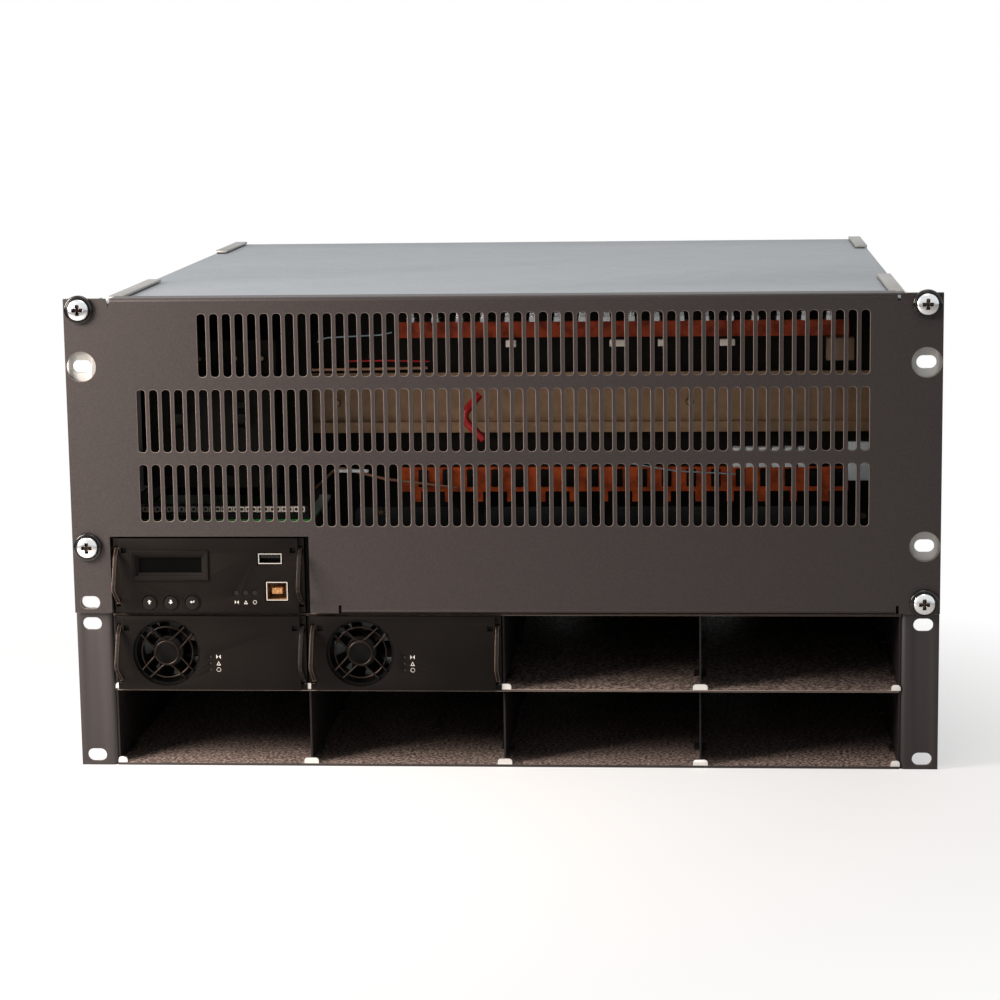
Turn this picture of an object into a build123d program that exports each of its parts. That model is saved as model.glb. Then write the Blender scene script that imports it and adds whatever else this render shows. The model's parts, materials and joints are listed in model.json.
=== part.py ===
"""Rack power shelf: a two-unit shelf of eight module bays under a four-unit distribution chassis.

Millimetres. X runs across the rack, Y runs from front to back, Z is up.
The origin is on the underside, half way across, in the plane of the rack posts, which the
ears' back faces touch. Each function builds one piece and write_parts exports them all.
"""

from build123d import *
import os

# Rack standard
rack_unit = 44.45
panel_width = 482.6
panel_gap = 0.4
ear_hole_edge = 8.75
ear_slot_length = 10.9
ear_slot_width = 7.1
hole_low = 6.35
hole_high = 38.1
shelf_units = 2
chassis_units = 4

# Sheet metal
sheet = 1.5
thin_sheet = 1.2
divider_sheet = 1.0
bend_radius = 1.5
seat_gap = 0.3

# Shelf and chassis
body_width = 444.0
bays = 4
shelf_depth = 400.0
chassis_depth = 450.0
backplane_y = 342.0
rear_vent = (92.0, 62.0, 4.0)
board_vent = (50.0, 29.0, 6.0)
board_thickness = 1.6
base_flange = 12.0
rear_openings = 3
rear_opening_pitch = 130.0
rear_opening = (104.0, 44.0, 6.0)
rear_opening_z = 140.0

# Module bays
lip_width = 8.2
lip_height = 3.2
lip_corner = 1.8
guide_reach = 3.0
guide_length = 12.0
guide_places = (24.0, 110.0, 220.0)
rectifier_bays = (0, 1)

# Plug-in modules
module_clearance = 0.6
module_floor = 1.5
rectifier_depth = 320.0
controller_depth = 150.0
face_front = 4.5
face_thickness = 2.5
face_height = 42.4
face_width = 107.7
face_panel_width = 101.0
strip_recess = 1.5
release_hole = 3.2
release_hole_offset = 47.8
release_hole_height = 35.3

# Module handles
handle_width = 2.0
handle_bar = 1.8
handle_bend = 3.2
handle_slot = 2.6
handle_offset = 51.9
handle_reach = 13.0
handle_elbow_height = 15.0
handle_shoulder_reach = 5.2
handle_shoulder_height = 32.2
handle_tip_height = 36.5
pivot_height = 5.2
pivot_depth = 1.1
pivot_pin_radius = 0.7
pivot_barrel_radius = 1.3
pin_fit = 0.05
pin_inner = 1.9
pin_outer = 1.6
lug_inner = 48.0
lug_depth = 2.4
lug_top = 10.0
lug_slot_back = 1.6
pivot_slot = 2.2
tip_slot_below = 3.2
tip_slot_above = 1.2
tip_reach = 1.4

# Module fan
fan_offset = 25.4
fan_size = 40.0
fan_depth = 19.0
fan_opening_radius = 19.2
fan_bore_radius = 17.6
fan_tip_gap = 0.5
fan_hub_radius = 9.0
fan_blades = 7
fan_blade_chord = 11.0
fan_blade_pitch = 38.0
fan_blade_thickness = 1.0
fan_shaft_radius = 1.5
guard_wire = 1.1
guard_wire_sides = 6
guard_inner_radius = 6.6
guard_outer_radius = 14.5
guard_arm_end = (10.5, 14.8)
guard_apex = 5.1
guard_apex_bend = 4.4
guard_end_bend = 0.6
guard_step = 1.0

# Module plugs
plug_width = 46.0
plug_height = 12.0
plug_reach = 11.0
plug_root = 8.0
plug_blades = 6
plug_blade_pitch = 7.2
socket_wall = 2.0
socket_stand_off = 2.0
plug_fit = 0.5

# Controller face
window_width = 35.5
window_height = 8.6
bezel_slope = 2.6
window_offset = -22.0
window_height_at = 26.7
window_rim = 1.6
button_radius = 3.8
button_gap = 0.35
button_travel = 0.8
button_pitch = 12.15
button_first = -34.1
button_height_at = 5.5
button_flange = 1.0
lamp_radius = 1.75
lamp_pitch = 5.15
lamp_first = 15.4
lamp_height_at = 11.1
lamp_fit = 0.3
status_lamp_radius = 1.1
status_lamp_pitch = 3.7
status_lamp_offset = -0.35
status_lamp_height = 15.3
socket_a = (13.2, 5.9)
socket_a_at = (34.7, 30.5)
socket_b = (12.0, 10.6)
socket_b_at = (38.2, 12.0)
socket_gap = 0.6
socket_shell = 0.5
control_board_y = 9.0
socket_recess = 0.6
socket_a_tongue = (10.6, 1.8, 1.2)
socket_b_tongue = (5.6, 3.2, 0.0)
button_proud = 0.5
button_stem = 1.5

# Front cover
cover_front = 4.5
slot_width = 4.7
slot_length = 35.0
short_slot_length = 32.0
slot_corner = 1.2
slot_pitch = 7.0
slot_columns = 58
short_columns = 14
first_row_missing = 5
slot_row_pitch = 42.0
slot_row_middle = 197.6
access_hole_radius = 8.2
cover_flange = 16.0
top_flange = (-215.3, 216.6)
bottom_flange = (-90.2, 217.2)
pad_radius = 9.5
cover_corner = 1.0
relief_depth = 4.5
relief_width = 1.6
controller_gap = 1.6
controller_side_gap = 3.0
screw_radius = 3.0
screw_head_radius = 6.0
screw_head_height = 3.4
screw_head_chamfer = 1.5
screw_cross_depth = 2.0
screw_clearance = 0.3
screw_length = 14.0
cross_length = 5.6
cross_width = 1.3
cup_radius = 8.0
cup_height = 2.4
cup_floor = 1.0
cage_flange = 10.0

# Top cover and tabs
tab_width = 8.0
tab_gap = 0.6
tab_drop = 1.0
front_tab = (20.0, 135.0)
rear_tab = (363.0, 448.0)
top_cover_start = 3.5
top_cover_flange = 16.0

# Distribution equipment
rail_width = 35.0
rail_height = 7.5
rail_crown = 25.0
rail_sheet = 1.0
rail_z = 196.7
plate_y = 84.0
rail_ends = (-206.0, 212.0)
breaker_pole = 18.0
breaker_height = 84.0
breaker_depth = 58.0
breaker_nose = 12.0
breaker_nose_height = 45.0
breaker_starts = (-201.0, -164.9)
toggle_radius = 6.0
toggle_width = 7.0
toggle_reach = 6.0
toggle_lever = 3.6
toggle_sink = 2.0
toggle_angle = 40.0
breaker_screw_inset = 10.0
breaker_screw_radius = 3.2
busbar_ends = (-62.0, 194.0)
upper_busbar_z = 241.0
upper_busbar_height = 9.0
busbar_thickness = 4.0
busbar_y = 58.0
comb_busbar_z = 154.5
comb_busbar_height = 14.0
busbar_bolt_pitch = 14.0
busbar_bolt_radius = 2.5
busbar_bolt_length = 5.0
busbar_nut_radius = 4.0
busbar_nut_height = 2.6
comb_finger = 6.0
standoff_places = (-40.0, 66.0, 172.0)
plate_top = 255.0
plate_clearance = 16.0
plate_foot = 14.0
plate_windows = 4
plate_window = (62.0, 36.0, 4.0)
plate_window_first = -62.0
plate_window_pitch = 76.0
plate_window_z = 116.0
bracket_x = (-127.5, -114.0)
bracket_y = 60.0
bracket_z = (140.0, 252.0)
bracket_foot = 14.0
standoff_radius = 4.4
io_board_y = (38.0, 128.0)
io_board_ends = (-216.0, -112.0)
terminal_pitch = 3.5
terminal_height = 8.0
terminal_depth = 7.0
terminal_well = 2.4

# Sizes worked out from the ones above
ear_slot_span = panel_width - 2 * ear_hole_edge
shelf_height = shelf_units * rack_unit - 2 * panel_gap
ear_low = shelf_units * rack_unit
total_height = (shelf_units + chassis_units) * rack_unit - 2 * panel_gap
half_body = body_width / 2
inner_half = half_body - sheet
bay_half_span = inner_half - divider_sheet
bay_pitch = 2 * bay_half_span / bays
bay_height = (shelf_height - sheet - 2 * thin_sheet) / 2
lower_bay_z = sheet
upper_bay_z = sheet + bay_height + thin_sheet
bay_x = [(n - (bays - 1) / 2) * bay_pitch for n in range(bays)]
divider_x = [(n - bays / 2) * bay_pitch for n in range(1, bays)]
module_half_low = bay_pitch / 2 - lip_width / 2 - module_clearance
module_half_high = bay_pitch / 2 - divider_sheet / 2 - module_clearance
module_top = bay_height - seat_gap
face_back = face_front - face_thickness
fan_z = bay_height / 2
cover_back = cover_front - sheet
tab_low = total_height - tab_drop - sheet
cover_top = tab_low - tab_gap
wall_top = cover_top - thin_sheet
deck_z = shelf_height + thin_sheet
cage_right = bay_x[0] + bay_pitch / 2 - divider_sheet / 2 + thin_sheet
cage_top = deck_z + bay_height
cage_depth = controller_depth + plug_reach + 10.0
plug_z = bay_height / 2
board_back = control_board_y + board_thickness
board_pocket_x = (-46.8, 46.8)
board_pocket_z = (module_floor, module_top - 2.0)


def span(low, high):
    """Length and middle of a range."""
    return high - low, (low + high) / 2


def block(x, y, z):
    """Box between the three (low, high) ranges."""
    (dx, cx), (dy, cy), (dz, cz) = span(*x), span(*y), span(*z)
    return Pos(cx, cy, cz) * Box(dx, dy, dz)


def prism_y(flat, low, high):
    """Flat drawn with X across and Y as height, extruded along Y from low to high."""
    return extrude(Plane.XZ.offset(-low) * flat, amount=-(high - low))


def prism_x(flat, low, high):
    """Flat drawn with X as depth and Y as height, extruded along X from low to high."""
    return extrude(Plane.YZ.offset(low) * flat, amount=high - low)


def cylinder_y(radius, x, z, low, high):
    """Round bar along Y."""
    return prism_y(Pos(x, z) * Circle(radius), low, high)


def cylinder_x(radius, y, z, low, high):
    """Round bar along X."""
    return prism_x(Pos(y, z) * Circle(radius), low, high)


def nearest_edge(part, x, y, z):
    """The edge whose middle is nearest to a point."""
    return part.edges().sort_by_distance(Vector(x, y, z))[0]


def ear_slots(x, heights, low, high):
    """Cutters for the rack slots, which run across the ear."""
    return [
        prism_y(Pos(x, z) * SlotOverall(ear_slot_length, ear_slot_width), low, high)
        for z in heights
    ]


def shelf_slot_heights():
    """Rack slots of the shelf ears: the lowest and the highest hole of its units."""
    return [hole_low - panel_gap, (shelf_units - 1) * rack_unit + hole_high - panel_gap]


def chassis_slot_heights():
    """Rack slots of the chassis ears."""
    base = ear_low - panel_gap
    top = base + chassis_units * rack_unit
    return [base + hole_low, base + hole_high, top - hole_high, top - hole_low]


def angle_section(side, outer, depth):
    """Plan of an ear and the wall behind it, folded from one sheet with a round bend."""
    inner = inner_half
    points = [(inner, -sheet), (outer, -sheet), (outer, 0), (half_body, 0)]
    points += [(half_body, depth), (inner, depth), (inner, -sheet)]
    flat = make_face(Polyline(points))
    flat = fillet(flat.vertices().sort_by_distance((inner, -sheet, 0))[0], bend_radius + sheet)
    flat = fillet(flat.vertices().sort_by_distance((half_body, 0, 0))[0], bend_radius)
    return flat if side > 0 else mirror(flat, about=Plane.YZ)


def lip(x_low, x_high, z):
    """Latch lip that stands on the front edge of a floor, with rounded top corners."""
    width, middle = span(x_low, x_high)
    flat = Pos(middle, z + lip_height / 2) * Rectangle(width, lip_height)
    top = flat.vertices().group_by(Axis.Y)[-1]
    return prism_y(fillet(top, lip_corner), -sheet, 0)


def shelf_tray():
    """Floor, vented rear, side walls and ears of the shelf."""
    tray = block((-inner_half, inner_half), (-sheet, shelf_depth), (0, sheet))
    rear = (shelf_depth - sheet, shelf_depth)
    tray += block((-inner_half, inner_half), rear, (sheet, shelf_height - thin_sheet))
    for x in bay_x:
        vent = Pos(x, shelf_height / 2) * RectangleRounded(rear_vent[0], rear_vent[1], rear_vent[2])
        tray -= prism_y(vent, rear[0] - 1, rear[1] + 1)
    for side in (-1, 1):
        wall = extrude(angle_section(side, panel_width / 2, shelf_depth), amount=shelf_height)
        slots = ear_slots(side * ear_slot_span / 2, shelf_slot_heights(), -2 * sheet, sheet)
        tray += wall - slots
    return tray


def mid_shelf():
    """Floor of the upper bays, between the side liners."""
    x = (-bay_half_span, bay_half_span)
    return block(x, (-sheet, backplane_y - seat_gap), (upper_bay_z - thin_sheet, upper_bay_z))


def shelf_top():
    """Lid of the shelf, between its side walls."""
    low = shelf_height - thin_sheet
    return block((-inner_half, inner_half), (-sheet + seat_gap, shelf_depth), (low, shelf_height))


def guide_tabs(x, side, z):
    """Tabs lanced out of a divider, which carry the module's steps."""
    face = x + side * divider_sheet / 2
    reach = (face, face + side * guide_reach)
    return [
        block(sorted(reach), (y, y + guide_length), (z + lip_height - divider_sheet, z + lip_height))
        for y in guide_places
    ]


def divider(x, z):
    """Upright between two bays, with guide tabs on both faces and the latch lip at its foot."""
    half = divider_sheet / 2
    upright = block((x - half, x + half), (0, backplane_y - 2 * seat_gap), (z, z + bay_height))
    upright += lip(x - lip_width / 2, x + lip_width / 2, z)
    return upright + guide_tabs(x, -1, z) + guide_tabs(x, 1, z)


def side_liner(side):
    """Full-height liner against the shelf wall, with guide tabs and latch lips for both rows."""
    middle = side * (bay_half_span + divider_sheet / 2)
    x = sorted((side * bay_half_span, side * inner_half))
    liner = block(x, (0, backplane_y - 2 * seat_gap), (sheet, shelf_height - thin_sheet))
    lip_x = sorted((side * (bay_half_span - lip_width / 2), side * inner_half))
    for z in (lower_bay_z, upper_bay_z):
        liner += lip(*lip_x, z)
        liner += guide_tabs(middle, -side, z)
    return liner


def plug_socket(x, z, front, back):
    """Shrouded socket, open to the front, on a board or wall whose face is at back."""
    half_w = plug_width / 2 + plug_fit
    half_h = plug_height / 2 + plug_fit
    outer = (half_w + socket_wall, half_h + socket_wall)
    shroud = block((x - outer[0], x + outer[0]), (front, back), (z - outer[1], z + outer[1]))
    return shroud - block((x - half_w, x + half_w), (front - 1, back - socket_wall), (z - half_h, z + half_h))


def backplane():
    """Board across the back of the bays, with a shrouded socket for each module."""
    y = (backplane_y, backplane_y + board_thickness)
    board = block((-inner_half + seat_gap, inner_half - seat_gap), y, (sheet, shelf_height - thin_sheet))
    for x in bay_x:
        for z in (lower_bay_z, upper_bay_z):
            vent = (x - board_vent[0], x - board_vent[1])
            board -= block(vent, (y[0] - 1, y[1] + 1), (z + board_vent[2], z + bay_height - board_vent[2]))
            board += plug_socket(x, z + plug_z, rectifier_depth + socket_stand_off, y[0])
    return board


def module_section():
    """Front outline of a module's case: narrow below the steps that clear the lips."""
    step = lip_height + seat_gap
    low, high = module_half_low, module_half_high
    points = [(-low, seat_gap), (low, seat_gap), (low, step), (high, step), (high, module_top)]
    points += [(-high, module_top), (-high, step), (-low, step), (-low, seat_gap)]
    return make_face(Polyline(points))


def hinge_lug_box(side, margin):
    """Space behind one handle strip that holds the handle's pivot lug."""
    x = sorted((side * (lug_inner - margin), side * (face_width / 2 + margin)))
    return block(x, (-face_back, lug_depth + margin), (lip_height + seat_gap, lug_top + margin))


def handle_slot_x(side):
    """Width of the slots that one handle passes through."""
    return sorted((side * (handle_offset - handle_slot / 2), side * (handle_offset + handle_slot / 2)))


def tip_pocket(side):
    """Pocket behind one handle's top hole."""
    z = (handle_tip_height - tip_slot_below, handle_tip_height + tip_slot_above)
    return block(handle_slot_x(side), (-face_back, 1.0), z)


def plug(depth):
    """Blade plug at the back of a module."""
    z = (plug_z - plug_height / 2, plug_z + plug_height / 2)
    body = block((-plug_width / 2, plug_width / 2), (depth - 1, depth + plug_reach), z)
    for n in range(plug_blades):
        x = (n - (plug_blades - 1) / 2) * plug_blade_pitch
        slot = (x - plug_blade_pitch / 3, x + plug_blade_pitch / 3)
        body -= block(slot, (depth + 2, depth + plug_reach + 1), (z[0] + 2.5, z[1] - 2.5))
    return body


def module_case(depth):
    """Closed case of a plug-in module with its plug, cut away for the handles' pivot lugs."""
    case = prism_y(module_section(), -face_back, depth) + plug(depth)
    for side in (-1, 1):
        case -= hinge_lug_box(side, seat_gap / 2)
        case -= tip_pocket(side)
    return case


def handle_holes(side):
    """Holes in one strip of the face for the lever's tip and for its pivot."""
    x = handle_slot_x(side)
    low = (pivot_height - pivot_slot, pivot_height + pivot_slot)
    high = (handle_tip_height - tip_slot_below, handle_tip_height + tip_slot_above)
    return [block(x, (-face_front - 1, lug_slot_back), low), block(x, (-face_front - 1, -face_back + 1), high)]


def module_face():
    """Moulded front with recessed handle strips, pivot lugs and the two release holes."""
    z = (-0.3, -0.3 + face_height)
    face = block((-face_width / 2, face_width / 2), (-face_front, -face_back), z)
    for side in (-1, 1):
        strip = sorted((side * face_panel_width / 2, side * (face_width / 2 + 1)))
        face -= block(strip, (-face_front - 1, -face_front + strip_recess), (z[0] - 1, z[1] + 1))
        face += hinge_lug_box(side, 0)
        face -= handle_holes(side)
        pin = sorted((side * (handle_offset - pin_inner - 0.2), side * (handle_offset + pin_outer + 0.2)))
        face -= cylinder_x(pivot_pin_radius + pin_fit, -pivot_y(), pivot_height, *pin)
        hole = Pos(side * release_hole_offset, release_hole_height) * Rectangle(release_hole, release_hole)
        face -= prism_y(hole, -face_front - 1, -face_back)
    return face


def pivot_y():
    """Distance of the handle pivot in front of the rack plane."""
    return face_front - strip_recess - pivot_depth


def handle(side):
    """Lever bowed out of the strip, with its pivot barrel, pin ends and top nib."""
    y0, z0 = -pivot_y(), pivot_height
    strip_y = -(face_front - strip_recess)
    elbow = (strip_y - handle_reach, handle_elbow_height)
    shoulder = (strip_y - handle_shoulder_reach, handle_shoulder_height)
    tip = (strip_y + tip_reach, handle_tip_height)
    path = FilletPolyline((y0, z0), elbow, shoulder, tip, radius=handle_bend)
    bar = trace(path, handle_bar)
    x = (side * handle_offset - handle_width / 2, side * handle_offset + handle_width / 2)
    lever = prism_x(bar, *x)
    lever += cylinder_x(pivot_barrel_radius, y0, z0, *x)
    pin = sorted((side * (handle_offset - pin_inner), side * (handle_offset + pin_outer)))
    return lever + cylinder_x(pivot_pin_radius, y0, z0, *pin)


def fan_pocket():
    """Square pocket in a rectifier case that holds the fan."""
    half = fan_size / 2 + 0.1
    return block(
        (-fan_offset - half, -fan_offset + half), (-face_back - 1, fan_depth + 0.1), (fan_z - half, fan_z + half)
    )


def lamp_pocket(x_low, x_high, z_low, z_high):
    """Pocket behind the face for the bar that joins the light pipes."""
    return block((x_low, x_high), (-face_back - 1, 0), (z_low, z_high))


def status_lamps():
    """Places of a rectifier's three indicators."""
    return [(status_lamp_offset, status_lamp_height + n * status_lamp_pitch) for n in (1, 0, -1)]


def controller_lamps():
    """Places of the controller's three indicators."""
    return [(lamp_first + n * lamp_pitch, lamp_height_at) for n in range(3)]


def light_pipe(places, radius):
    """Clear rods that end flush in the face, joined by a bar behind it."""
    xs = [x for x, z in places]
    zs = [z for x, z in places]
    bar_x = (min(xs) - radius - 0.4, max(xs) + radius + 0.4)
    bar_z = (min(zs) - radius - 0.4, max(zs) + radius + 0.4)
    pipe = block(bar_x, (-face_back, -0.5), bar_z)
    return pipe + [cylinder_y(radius, x, z, -face_front, -face_back + 0.1) for x, z in places]


def light_pipe_pocket(places, radius):
    """Room in the case for a light pipe's bar."""
    xs = [x for x, z in places]
    zs = [z for x, z in places]
    room = radius + 0.6
    return lamp_pocket(min(xs) - room, max(xs) + room, min(zs) - room, max(zs) + room)


def rectifier_case():
    """Rectifier case with the pockets for its fan and its light pipe."""
    pockets = [fan_pocket(), light_pipe_pocket(status_lamps(), status_lamp_radius)]
    return module_case(rectifier_depth) - pockets


def rectifier_front():
    """Rectifier face with the fan opening and three indicator holes."""
    holes = [cylinder_y(fan_opening_radius, -fan_offset, fan_z, -face_front - 1, -face_back + 1)]
    for x, z in status_lamps():
        holes.append(cylinder_y(status_lamp_radius, x, z, -face_front - 1, -face_back + 1))
    return module_face() - holes


def fan_frame():
    """Square fan housing with its bore, rear struts and motor boss."""
    low, high = -face_back, fan_depth
    square = Pos(-fan_offset, fan_z) * RectangleRounded(fan_size, fan_size, 3.0)
    frame = prism_y(square, low, high) - cylinder_y(fan_bore_radius, -fan_offset, fan_z, low - 1, high + 1)
    rear = (high - 2.2, high)
    frame += cylinder_y(fan_hub_radius - 0.5, -fan_offset, fan_z, *rear)
    for n in range(4):
        strut = Rot(0, 45 + 90 * n, 0) * block((0, fan_bore_radius + 0.5), rear, (-1.2, 1.2))
        frame += Pos(-fan_offset, 0, fan_z) * strut
    return frame - cylinder_y(fan_shaft_radius + pin_fit, -fan_offset, fan_z, rear[0] - 1, high + 1)


def fan_blade():
    """One pitched blade, from inside the hub out to the tip circle."""
    tip = fan_bore_radius - fan_tip_gap
    slab = Rot(fan_blade_pitch, 0, 0) * Box(2 * tip, fan_blade_chord, fan_blade_thickness)
    half = block((fan_hub_radius - 1, tip + 1), (-fan_depth, fan_depth), (-tip, tip))
    return (slab & half) & cylinder_y(tip, 0, 0, -fan_depth, fan_depth)


def fan_rotor():
    """Fan rotor: hub cup, blades and shaft."""
    hub = cylinder_y(fan_hub_radius, 0, 0, 0.5, fan_depth - 4.0)
    hub = fillet(hub.edges().filter_by(GeomType.CIRCLE).group_by(Axis.Y)[0], 1.2)
    middle = (0.5 + fan_depth - 4.0) / 2
    for n in range(fan_blades):
        hub += Rot(0, n * 360 / fan_blades, 0) * (Pos(0, middle, 0) * fan_blade())
    hub += cylinder_y(fan_shaft_radius, 0, 0, fan_depth - 4.5, fan_depth - 0.4)
    return Pos(-fan_offset, 0, fan_z) * hub


def guard_ring(radius, y):
    """Closed ring of guard wire, its section drawn with few sides."""
    section = Pos(radius, 0) * RegularPolygon(guard_wire / 2, guard_wire_sides)
    return Pos(0, y, 0) * revolve(section, Axis.Y)


def guard_arm(angle, y):
    """V-shaped guard wire, rounded at its apex, both ends turned back on to the fan frame."""
    x, z = guard_arm_end
    points = [(-x, -face_back, z), (-x, y, z), (0, y, guard_apex), (x, y, z), (x, -face_back, z)]
    bends = (guard_end_bend, guard_apex_bend, guard_end_bend)
    route = FilletPolyline(*points, radius=bends)
    section = Plane(origin=route @ 0, z_dir=route % 0) * RegularPolygon(guard_wire / 2, guard_wire_sides)
    return Rot(0, angle, 0) * sweep(section, path=route)


def fan_guard():
    """Welded wire guard: four V wires with the outer ring behind and the inner one in front."""
    y = -face_back - guard_step + 0.05
    guard = guard_ring(guard_outer_radius, y + guard_step) + guard_ring(guard_inner_radius, y - guard_step)
    guard += [guard_arm(90 * n, y) for n in range(4)]
    return Pos(-fan_offset, 0, fan_z) * guard


def button_places():
    """Centres of the three buttons."""
    return [(button_first + n * button_pitch, button_height_at) for n in range(3)]


def controller_case():
    """Controller case with one pocket behind its face for the board and the buttons."""
    pocket = block(board_pocket_x, (-face_back - 1, board_back + 0.2), board_pocket_z)
    return module_case(controller_depth) - pocket


def controller_front():
    """Controller face with its bevelled window, button holes, lamp holes and sockets' cut-outs."""
    face = module_face()
    outer = (window_width + 2 * bezel_slope, window_height + 2 * bezel_slope)
    flats = [Plane.XZ.offset(face_front) * (Pos(window_offset, window_height_at) * Rectangle(*outer))]
    inner = Pos(window_offset, window_height_at) * Rectangle(window_width, window_height)
    flats.append(Plane.XZ.offset(face_back + 0.8) * inner)
    face -= loft(flats)
    face -= prism_y(inner, -face_front, -face_back + 1)
    for x, z in button_places():
        face -= cylinder_y(button_radius + button_gap, x, z, -face_front - 1, -face_back + 1)
    for x, z in controller_lamps():
        face -= cylinder_y(lamp_radius, x, z, -face_front - 1, -face_back + 1)
    for size, place in ((socket_a, socket_a_at), (socket_b, socket_b_at)):
        hole = Pos(*place) * Rectangle(size[0] + 2 * socket_gap, size[1] + 2 * socket_gap)
        face -= prism_y(hole, -face_front - 1, -face_back + 1)
    return face


def controller_board():
    """Board behind the controller face, which carries the sockets."""
    x = (board_pocket_x[0] + seat_gap, board_pocket_x[1] - seat_gap)
    z = (board_pocket_z[0] + seat_gap / 2, board_pocket_z[1] - seat_gap / 2)
    return block(x, (control_board_y, board_back), z)


def display_window():
    """Display pane and its frame, against the back of the face."""
    half_w = window_width / 2 + window_rim
    half_h = window_height / 2 + window_rim
    x = (window_offset - half_w, window_offset + half_w)
    return block(x, (-face_back, -face_back + 1.2), (window_height_at - half_h, window_height_at + half_h))


def button(index):
    """Push button: cap through the face, flange behind it and plunger towards the board."""
    x, z = button_places()[index]
    flange = (-face_back + seat_gap, -face_back + seat_gap + button_flange)
    cap = cylinder_y(button_radius, x, z, -face_front - button_proud, flange[0] + 0.1)
    rim = cylinder_y(button_radius + button_flange, x, z, *flange)
    side = button_radius + button_flange + 1
    cap += rim & block((x - side, x + side), flange, (module_floor + seat_gap, z + side))
    return cap + cylinder_y(button_stem, x, z, flange[1] - 0.1, control_board_y - button_travel - seat_gap)


def data_socket(size, place, tongue):
    """Metal-shelled socket on the board, with its tongue inside."""
    front = -face_front + socket_recess
    outer = prism_y(Pos(*place) * Rectangle(*size), front, control_board_y)
    hollow = Rectangle(size[0] - 2 * socket_shell, size[1] - 2 * socket_shell)
    outer -= prism_y(Pos(*place) * hollow, front - 1, control_board_y - 1.5)
    x, z = place
    middle = z + tongue[2]
    bar = ((x - tongue[0] / 2, x + tongue[0] / 2), (front + 1, control_board_y - 1))
    return outer + block(*bar, (middle - tongue[1] / 2, middle + tongue[1] / 2))


def side_panel(side):
    """Chassis wall and ear in one sheet, with the two tabs that hold the top cover."""
    panel = Pos(0, 0, ear_low) * extrude(
        angle_section(side, panel_width / 2, chassis_depth), amount=total_height - ear_low
    )
    wall = sorted((side * (inner_half - 1), side * (half_body + 1)))
    panel -= block(wall, (bend_radius + sheet, chassis_depth + 1), (wall_top, total_height + 1))
    riser = sorted((side * inner_half, side * half_body))
    reach = sorted((side * (inner_half - tab_width + sheet), side * half_body))
    for low, high in (front_tab, rear_tab):
        panel += block(riser, (low, high), (wall_top - 1, tab_low + sheet))
        tab = block(reach, (low, high), (tab_low, tab_low + sheet))
        panel += fillet(nearest_edge(tab, side * half_body, (low + high) / 2, tab_low + sheet), bend_radius - 0.3)
    return panel - ear_slots(side * ear_slot_span / 2, chassis_slot_heights(), -2 * sheet, sheet)


def chassis_base():
    """Chassis floor with side flanges and the rear wall with its cable openings."""
    floor = block((-inner_half, inner_half), (seat_gap, chassis_depth), (shelf_height, deck_z))
    floor -= block((cage_right, inner_half + 1), (-1, cover_flange), (shelf_height - 1, deck_z + 1))
    for side in (-1, 1):
        x = sorted((side * (inner_half - thin_sheet), side * inner_half))
        floor += block(x, (cover_flange, chassis_depth), (shelf_height, deck_z + base_flange))
    rear = (chassis_depth - thin_sheet, chassis_depth)
    floor += block((-inner_half, inner_half), rear, (shelf_height, wall_top))
    for n in range(rear_openings):
        x = (n - (rear_openings - 1) / 2) * rear_opening_pitch
        opening = Pos(x, rear_opening_z) * RectangleRounded(*rear_opening)
        floor -= prism_y(opening, rear[0] - 1, rear[1] + 1)
    return floor


def top_cover():
    """Loose lid on the chassis walls, notched for the tabs and turned down at the rear."""
    lid = block((-half_body, half_body), (top_cover_start, chassis_depth), (wall_top, cover_top))
    rear = (chassis_depth, chassis_depth + thin_sheet)
    lid += block((-inner_half, inner_half), rear, (cover_top - top_cover_flange, cover_top))
    notch_x = inner_half - seat_gap
    for low, high in (front_tab, rear_tab):
        for side in (-1, 1):
            x = sorted((side * notch_x, side * (half_body + 1)))
            lid -= block(x, (low - seat_gap, high + seat_gap), (wall_top - 1, cover_top + 1))
    return lid


def cover_slots():
    """Centre and length of every slot in the front cover."""
    first = -(slot_columns - 1) / 2 * slot_pitch
    top = [
        (first + n * slot_pitch, slot_row_middle + slot_row_pitch, slot_length)
        for n in range(first_row_missing, slot_columns)
    ]
    middle = [(first + n * slot_pitch, slot_row_middle, slot_length) for n in range(slot_columns)]
    bottom = slot_row_middle - slot_row_pitch
    raised = bottom + (slot_length - short_slot_length) / 2
    short = [(first + n * slot_pitch, raised, short_slot_length) for n in range(short_columns)]
    full = [
        (first + n * slot_pitch, bottom, slot_length) for n in range(short_columns, slot_columns)
    ]
    return top + middle + short + full


def cover_slot(length):
    """One slot of the cover, its small corners chamfered."""
    slot = Rectangle(slot_width, length)
    return chamfer(slot.vertices(), slot_corner)


def cover_screw_places():
    """Where the cover is screwed to the ears."""
    heights = chassis_slot_heights()
    x = ear_slot_span / 2
    return [(-x, heights[3]), (x, heights[3]), (-x, heights[1]), (x, heights[0])]


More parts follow.
